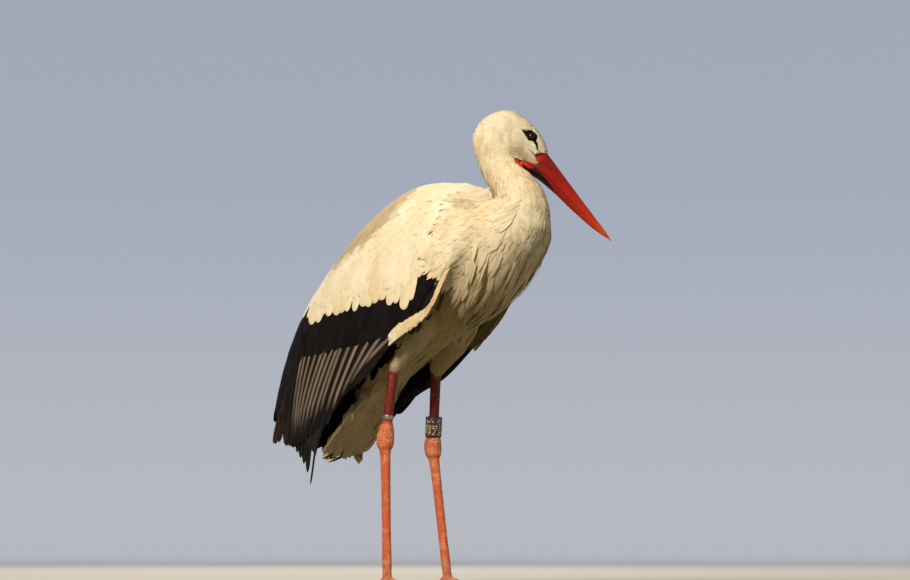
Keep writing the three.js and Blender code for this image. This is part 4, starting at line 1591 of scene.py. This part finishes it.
def shoulders(hull):
    """Feathers of the breast's sides that lie back over the front edges of the folded wings."""
    vanes = Vanes("feathers_shoulders", body_unwrap)
    roots = hull.scatter(4.2, on_shoulder)
    n = len(roots)
    ways = np.array([-0.80, 0, -0.60]) + 0.35 * wander(roots, 20, (71, 72, 73))
    length = rng.uniform(34, 54, n)
    lift = -3.4, rng.uniform(-0.7, 0.3, n)
    half = rng.uniform(3.6, 5.2, n)
    tint = coloured(body_colour, 0.035, 0.08)
    vanes.lay(hull, roots, fixed(ways), length, lift, half, LOOSE, tint, 0.12, 0.2, tips=False)
    return vanes


def thigh_tufts():
    """Loose feathers that hang from the thighs over the top of the bare shanks."""
    vanes = Vanes("thigh_tufts", body_unwrap)
    tint = coloured(body_colour, 0.05, 0.14)
    for side in SIDES:
        points, _, quads = remeshed([f"thigh_{side}", f"shank_{side}"], 2.0, 14)
        guide = Guide(points, quads)
        roots = guide.scatter(3.3, lambda p: (p[:, 2] > 350) & (p[:, 2] < 396))
        n = len(roots)
        hang = unit(ANKLES[side] - HIPS[side])
        ways = hang + 0.12 * rng.standard_normal((n, 3))
        length = rng.uniform(10, 22, n)
        lift = -1.0, rng.uniform(0.2, 1.4, n)
        half = rng.uniform(1.7, 2.6, n)
        heading = fixed(ways)
        vanes.lay(guide, roots, heading, length, lift, half, LOOSE, tint, 0.15, 0.2, tips=False)
    return vanes


# ---- Bill ----

# Along and above the line between the mandibles, then half width and height, in the bill's frame.
UPPER_BILL = [
    (-18, -2, 13.0, 32), (-3, -0.5, 13.6, 34), (10, 2, 13.2, 29.5), (28, 4.5, 12.3, 23.8),
    (59, 4, 10.4, 18.6), (93, 2.2, 7.8, 14.2), (132, 0.4, 5, 9.2), (156, 0.2, 3.2, 5.3),
    (BILL_LENGTH, 0, 0.9, 1.1),
]  # fmt: skip
LOWER_BILL = [
    (-28, -9.5, 11.5, 5), (-13, -4.5, 12.8, 9.5), (4, 0.2, 12.9, 12), (26, 3.9, 11.8, 11.6),
    (59, 3.5, 9.8, 9.7), (93, 1.7, 7.5, 8.4), (132, 0.0, 4.9, 5.7), (154, 0.0, 3.1, 3.3),
    (BILL_LENGTH - 5, 0.3, 0.8, 0.7),
]  # fmt: skip
BILL_POWER = 1.75
BILL_COLOURS = [
    (-30, 0.70, 0.080, 0.024), (-8, 0.54, 0.034, 0.010), (10, 0.20, 0.004, 0.003), (60, 0.30, 0.008, 0.004),
    (120, 0.43, 0.021, 0.006), (174, 0.60, 0.085, 0.014),
]  # fmt: skip
# Furrows along a mandible: (fading in along x, fading out, share of the height, width, depth).
UPPER_GROOVE = (4, 12, 78, 50, 0.52, 0.09, 0.5)
NOSTRIL = (13, 16, 33, 28, 0.56, 0.045, 1.0)
LOWER_GROOVE = (20, 40, 150, 120, 0.55, 0.1, 0.45)
# The lower mandible is painted black below this line, as painted shadow along its base, (along, up).
CHIN_SHADOW_LINE = [(0, -8), (3, -5), (7, 1), (24, 2), (44, -2.3), (57, -5.5), (62, -20)]


def furrow(row, x, share):
    low, full, last, end, at, width, _ = row
    return smoothstep(low, full, x) * smoothstep(last, end, x) * np.exp(-(((share - at) / width) ** 2))


def mandible(name, stations, upper, material):
    rows, around = 210, 80
    station = smooth_run(stations, np.linspace(0, 1, rows) ** 0.92)
    x, height, half_width, half_height = (station[:, k : k + 1] for k in range(4))
    phi = full_turn(around)
    power = 2 / np.interp(x, [-18, 5, 40], [2.5, 2.3, BILL_POWER])
    across, rise = (np.sign(v) * np.abs(v) ** power for v in (np.cos(phi), np.sin(phi)))
    x = x + 0 * across
    share = np.abs(rise)
    outer = (rise > 0) == upper
    y = half_width * across
    for row in (UPPER_GROOVE, NOSTRIL) if upper else (LOWER_GROOVE,):
        y = y - np.sign(across) * row[-1] * furrow(row, x, share) * outer
    z = height + rise * np.where(outer, half_height, 0.3)
    points = np.stack([x, y, z], -1).reshape(-1, 3)
    along = points[:, 0]
    sheen = lumps(points * [0.25, 1, 1], 3.2, 51)
    colour = np.stack(read_off(BILL_COLOURS, along), -1) * (0.88 + 0.22 * sheen[:, None])
    # Darker along the line where the mandibles meet: painted shade of the gap between them.
    edge = share.ravel() < 0.10
    colour = mix(colour, colour * 0.6, 0.15 * edge * smoothstep(168, 140, along))
    if upper:
        # Black in the nostril's groove: painted shade.
        colour = mix(colour, FACE_BLACK, 0.7 * np.ravel(furrow(NOSTRIL, x, share) * outer))
    else:
        # Painted shadow: black below the line along the base.
        (border,) = read_off(CHIN_SHADOW_LINE, along)
        below = smoothstep(1.2, -1.0, points[:, 2] - border - 1.5 * (sheen - 0.5))
        colour = mix(colour, FACE_BLACK, 0.94 * below)
    maps = {"OFBake": np.stack([along / 230 + 0.15, np.tile(phi / 6.4, rows)], -1)}
    obj = mesh_object(name, bill_to_bird(points), tube(rows, around), colour, maps)
    obj.data.materials.append(material)
    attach(obj, "root")
    return obj


def make_bill():
    horn = Paint("bill_horn", 0.4, 0.24)
    local = horn.place()
    to_bill = {"Vector": local, "Rotation": (0, 0.757, -HEAD_TURN)}
    turned = horn.node("ShaderNodeVectorRotate", rotation_type="EULER_XYZ", inputs=to_bill)
    streak = horn.between(0.3, 0.7, horn.noise(turned, 520, 5, stretch=(0.10, 1.0, 1.0)))
    mottle = horn.noise(local, 85, 4)
    colour = horn.darkened(horn.tint(), streak, 0.26)
    colour = horn.darkened(colour, horn.between(0.4, 0.75, mottle), 0.25)
    gloss = horn.between(0, 1, streak, 0.33, 0.5)
    made = horn.finish(colour, gloss, horn.math("MULTIPLY_ADD", mottle, 0.4, streak), 0.35, 0.5)
    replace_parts(mandible("upper_bill", UPPER_BILL, True, made), "bill_upper")
    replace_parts(mandible("lower_bill", LOWER_BILL, False, made), "bill_lower")


# ---- Eyes ----

EYE_LOOK = np.array([0.16, 1.0, 0.06])  # in the head's frame, left eye
IRIS = np.array([0.022, 0.011, 0.007])
PUPIL = np.array([0.003, 0.003, 0.003])
SCLERA = np.array([0.010, 0.008, 0.008])
# Radius and height of the eyelids' ring, from its inner rim to its outer one.
LID_PROFILE = [(5, 5.2), (5.1, 5.6), (5.3, 5.75), (5.7, 5.6), (6.3, 5.1), (7, 4.2), (7.7, 3), (8.2, 1.6)]


def turned_profile(side, profile, around, stretch=(1.0, 1.0)):
    """A profile of (radius, height) turned about the way an eye looks, through its middle."""
    look = unit(EYE_LOOK * [1, SIDES[side], 1])
    ahead = unit(np.cross([0, 0, 1.0], look)) * -SIDES[side]
    up = np.cross(look, ahead) * -SIDES[side]
    phi = full_turn(around)
    radius, height = np.array(profile, float).T
    ring = np.cos(phi)[:, None] * ahead * stretch[0] + np.sin(phi)[:, None] * up * stretch[1]
    local = radius[:, None, None] * ring + height[:, None, None] * look
    return from_head(local.reshape(-1, 3) + EYE_AT * [1, SIDES[side], 1]), phi


def eyeball(side, material):
    """A ball with a bulging cornea, a dark iris with rays, and a pupil."""
    polar = np.radians(np.concatenate([np.linspace(1, 60, 40), np.linspace(66, 179, 18)]))
    bulge = EYE_RADIUS * (1 + 0.035 * smoothstep(0.75, 0.0, polar))
    points, phi = turned_profile(side, np.stack([bulge * np.sin(polar), bulge * np.cos(polar)], -1), 48)
    degrees = np.repeat(np.degrees(polar), len(phi))
    rays = 0.8 + 0.4 * np.tile(np.abs(np.sin(phi * 19)), len(polar))
    colour = mix(IRIS * rays[:, None], PUPIL, smoothstep(17, 15, degrees))
    colour = mix(colour, SCLERA, smoothstep(30, 34, degrees))
    eye = mesh_object(f"eyeball_{side}", points, tube(len(polar), len(phi)), colour)
    eye.data.materials.append(material)
    return eye


def eyelids(side, material):
    """A wrinkled ring of bare skin round the ball."""
    rows, around = 28, 72
    profile = smooth_run(LID_PROFILE, np.linspace(0, 1, rows))
    points, phi = turned_profile(side, profile, around, (1.18, 0.88))
    points[:, 2] += 0.06 * np.sin(np.tile(phi, rows) * 23 + np.repeat(np.arange(rows), around))
    tint = np.tile(FACE_BLACK, (len(points), 1))
    lids = mesh_object(f"eyelids_{side}", points, tube(rows, around)[:1], tint)
    lids.data.materials.append(material)
    add_modifier(lids, "SOLIDIFY", thickness=0.4 * MM, offset=0)
    return lids


def make_eyes():
    ball = Paint("eye_wet", 0.1, 0.15, Coat_Weight=0.12, Coat_Roughness=0.03)
    radial = ball.noise(ball.place(), 2600, 2)
    ball_made = ball.finish(ball.darkened(ball.tint(), radial, 0.5))
    lid = Paint("lid_skin", 0.75, 0.08)
    grain = lid.noise(lid.place(), 900, 4)
    lid_made = lid.finish(lid.darkened(lid.tint(), grain, 0.5), None, grain, 0.3, 0.8)
    for side in SIDES:
        eye = eyeball(side, ball_made)
        for piece in (eye, eyelids(side, lid_made)):
            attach(piece, "root")
        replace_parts(eye, f"eye_{side}")


# ---- Leg rings and claws ----


RIM = 0.45  # radius of a ring's rounded rims
SEAM_AT = 4.2


def leg_ring(name, node, side, inner, outer, height, marks):
    """A thin tube round a leg with rounded rims and a seam, square to the leg."""
    middle = millimetres(middle_of(node))
    axis = unit(CUFFS[side] - ANKLES[side])
    ahead = unit(np.cross([0, 1.0, 0], axis))
    left = np.cross(axis, ahead)
    corners = [(inner + RIM, (180, 135, 90)), (outer - RIM, (90, 45, 0))]
    turns = [(middle_radius, math.radians(a)) for middle_radius, angles in corners for a in angles]
    high = [(r + RIM * math.cos(a), height / 2 - RIM + RIM * math.sin(a)) for r, a in turns]
    profile = np.array(high + [(r, -h) for r, h in reversed(high)])
    around, k = 120, len(profile)
    phi = full_turn(around)
    seam = 0.35 * smoothstep(0.10, 0.0, np.abs(phi - SEAM_AT))[:, None]
    radius = profile[:, 0] - np.where(profile[:, 0] > (inner + outer) / 2, 1.5 * seam, 0)
    out = np.cos(phi)[:, None] * ahead + np.sin(phi)[:, None] * left
    points = middle + axis * profile[None, :, 1:2] + radius[..., None] * out[:, None]
    faces = tube(around + 1, k)[0][:, [0, 3, 2, 1]] % (around * k)
    uv = np.stack(np.broadcast_arrays(phi[:, None] * outer, profile[None, :, 1]), -1).reshape(-1, 2)
    obj = mesh_object(name, points.reshape(-1, 3), [faces], None, {"ring": uv})
    obj.data.set_sharp_from_angle(angle=math.radians(50))
    obj.data.materials.append(marks)
    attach(obj, "root")
    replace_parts(obj, node)
    return obj


MARK_WIDTH, MARK_HEIGHT = 2.1, 3.4
MARK_COLOUR = (0.66, 0.55, 0.32, 1)
RING_BLACK = (0.012, 0.011, 0.012, 1)
RING_SCUFFED = (0.045, 0.04, 0.038, 1)


def make_rings():
    """A black ring with rows of meaningless pale marks, and a plain metal one."""
    plastic = Paint("ring_plastic", 0.38, 0.5)
    around, up, _ = plastic.node("ShaderNodeSeparateXYZ", inputs=[plastic.uv("ring")]).outputs
    cell_x = plastic.math("FLOOR", plastic.math("DIVIDE", around, MARK_WIDTH))
    cell_y = plastic.math("FLOOR", plastic.math("DIVIDE", up, MARK_HEIGHT))
    cell = plastic.node("ShaderNodeCombineXYZ", inputs=(cell_x, cell_y, 3.0))
    dice = plastic.node("ShaderNodeTexWhiteNoise", noise_dimensions="3D", inputs=[cell]).outputs["Value"]
    lit = plastic.math("GREATER_THAN", dice, 0.52)
    band = plastic.math("LESS_THAN", plastic.math("ABSOLUTE", up), 12.5)
    shares = plastic.math("FRACT", plastic.math("DIVIDE", up, MARK_HEIGHT))
    off_middle = plastic.math("ABSOLUTE", plastic.math("SUBTRACT", shares, 0.5))
    inside = plastic.math("LESS_THAN", off_middle, 0.36)
    mark = plastic.math("MULTIPLY", plastic.math("MULTIPLY", lit, band), inside)
    worn = plastic.between(0.35, 0.6, plastic.noise(plastic.place(), 900, 3))
    mark = plastic.math("MULTIPLY", mark, worn)
    scuffs = plastic.noise(plastic.place(), 420, 5)
    base = plastic.blend(plastic.between(0.5, 0.75, scuffs), RING_BLACK, RING_SCUFFED)
    colour = plastic.blend(mark, base, MARK_COLOUR)
    height = plastic.math("MULTIPLY_ADD", mark, -0.5, scuffs)
    made = plastic.finish(colour, plastic.between(0.3, 0.7, scuffs, 0.28, 0.5), height, 0.2, 0.5)
    leg_ring("marked_ring", "ring_code_left", "left", 11.2, 13.4, 33, made)
    metal = Paint("ring_metal", 0.3, 0.5, Metallic=1.0)
    scratch = metal.noise(metal.place(), 500, 5, stretch=(1, 1, 6))
    colour = metal.darkened((0.34, 0.32, 0.29, 1), scratch, 0.5)
    made = metal.finish(colour, metal.between(0.3, 0.7, scratch, 0.22, 0.5), scratch, 0.15, 0.5)
    leg_ring("plain_ring", "ring_metal_right", "right", 7.9, 9.1, 7, made)


def make_claws():
    horn = Paint("claw_horn", 0.42, 0.5)
    streak = horn.noise(horn.place(), 420, 4, stretch=(0.4, 0.4, 1.6))
    colour = horn.blend(streak, (0.10, 0.065, 0.05, 1), (0.34, 0.24, 0.18, 1))
    made = horn.finish(colour, horn.between(0.3, 0.7, streak, 0.3, 0.55), streak, 0.2, 0.6)
    for toe in TOE_NODES:
        for side in SIDES:
            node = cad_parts[f"claw_{toe}_{side}"]
            node.data.materials.clear()
            node.data.materials.append(made)
            add_modifier(node, "REMESH", mode="VOXEL", voxel_size=0.35 * MM, use_smooth_shade=True)
            add_modifier(node, "SMOOTH", factor=0.5, iterations=4)


# ---- Studio ----


FLOOR_RADIUS, FLOOR_CORNER, BACKDROP_HEIGHT = 9000, 2600, 4200


def make_floor():
    """A pale floor that curves up, far off, into a plain backdrop all round."""
    start = FLOOR_RADIUS - FLOOR_CORNER
    sweep = np.linspace(0, math.pi / 2, 16)[1:]
    profile = [(1, 0), (2500, 0), (start, 0)]
    profile += [(start + FLOOR_CORNER * math.sin(a), FLOOR_CORNER * (1 - math.cos(a))) for a in sweep]
    profile += [(FLOOR_RADIUS, BACKDROP_HEIGHT)]
    phi = full_turn(96)
    points = [(r * math.cos(a), r * math.sin(a), h) for r, h in profile for a in phi]
    floor = mesh_object("floor", np.array(points), tube(len(profile), len(phi))[:1])
    paper = Paint("studio_paper", 0.85, 0.2)
    height = paper.node("ShaderNodeSeparateXYZ", inputs=[paper.place()]).outputs["Z"]
    rising = paper.between(0.02, 1.6, height)
    away = paper.node("ShaderNodeVectorMath", "LENGTH", [paper.place()]).outputs["Value"]
    far = paper.between(1.4, 7.0, away)
    colour = paper.blend(rising, (*FLOOR_COLOUR, 1), (*BACKDROP_COLOUR, 1))
    grain = paper.noise(paper.place(), 40, 4)
    paper.shader.inputs["Emission Color"].default_value = (*BACKDROP_COLOUR, 1)
    paper.plug(paper.math("MULTIPLY", far, 0.78), paper.shader.inputs["Emission Strength"])
    floor.data.materials.append(paper.finish(paper.darkened(colour, grain, 0.04), None, grain, 0.3, 0.2))
    floor.visible_diffuse = False


# ---- The whole bird ----

# Stretch of the spine, outline, density, lift of the tips, fall, camber, spread, and share of the length.
FINE_COATS = {
    "feathers_head": ((-1, 104), HAIRY, 0.37, (0.0, 0.25), 0.05, 0.14, 0.08, 1.0),
    "feathers_neck": ((96, 226), LOOSE, 0.30, (0.0, 0.5), 0.15, 0.12, 0.08, 1.0),
}
COATS = {
    "feathers_breast": ((214, 350), LOOSE, 0.29, (0.0, 0.8), 0.5, 0.16, 0.10, 1.0),
    "feathers_belly": ((338, 900), ROUND, 0.33, (-0.2, 1.0), 0.3, 0.14, 0.08, 1.0),
    "breast_plumes": ((258, 338), LOOSE, 0.42, (2.0, 8.0), 1.5, 0.16, 0.14, 1.35),
    "undertail_coverts": ((610, 900), LONG, 0.42, (0.2, 2.2), 0.6, 0.18, 0.12, 1.5),
}


def make_plumage():
    materials = make_materials()
    white, down, black, flight = materials.values()
    points, _, quads = remeshed(FLESH + ["tail"], 2.7, 6)
    guide = Guide(reshaped(softened(points, quads)), quads)
    for name, row in (FINE_COATS | COATS).items():
        coat = body_coat(name, guide, *row)
        if name == "feathers_head":
            cheek_lobe(coat)
        coat.build(down if name in FINE_COATS else white, "plumage")
    thigh_tufts().build(white, "plumage")
    fronts = [wing_front(side) for side in SIDES]
    points, normals, quads = union([(guide.points, guide.faces), *fronts], 4, 24, 14.0)
    shoulders(Guide(points + 3.6 * normals, quads)).build(white, "plumage")
    tail = tail_feathers().build(white, "plumage")
    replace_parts(tail, "tail")
    guides = {side: wing_guides(side) for side in SIDES}
    scapulars({side: made[0] for side, made in guides.items()}).build(white, "plumage")
    for side, (outer, inner) in guides.items():
        white_coverts(side, outer).build(white, "plumage")
        edge_strip(side, outer).build(white, "plumage")
        coverts = black_coverts(side, outer, inner).build(black, "black_coverts")
        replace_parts(coverts, f"greater_coverts_{side}")
        flights = flight_feathers(side, outer).build(flight, "flight_feathers")
        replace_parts(flights, f"flight_feathers_{side}")
        tertials(side, outer).build(flight, "flight_feathers")


make_camera()
make_lights()
make_sky()
make_floor()
make_skin()
make_plumage()
make_bill()
make_eyes()
make_rings()
make_claws()
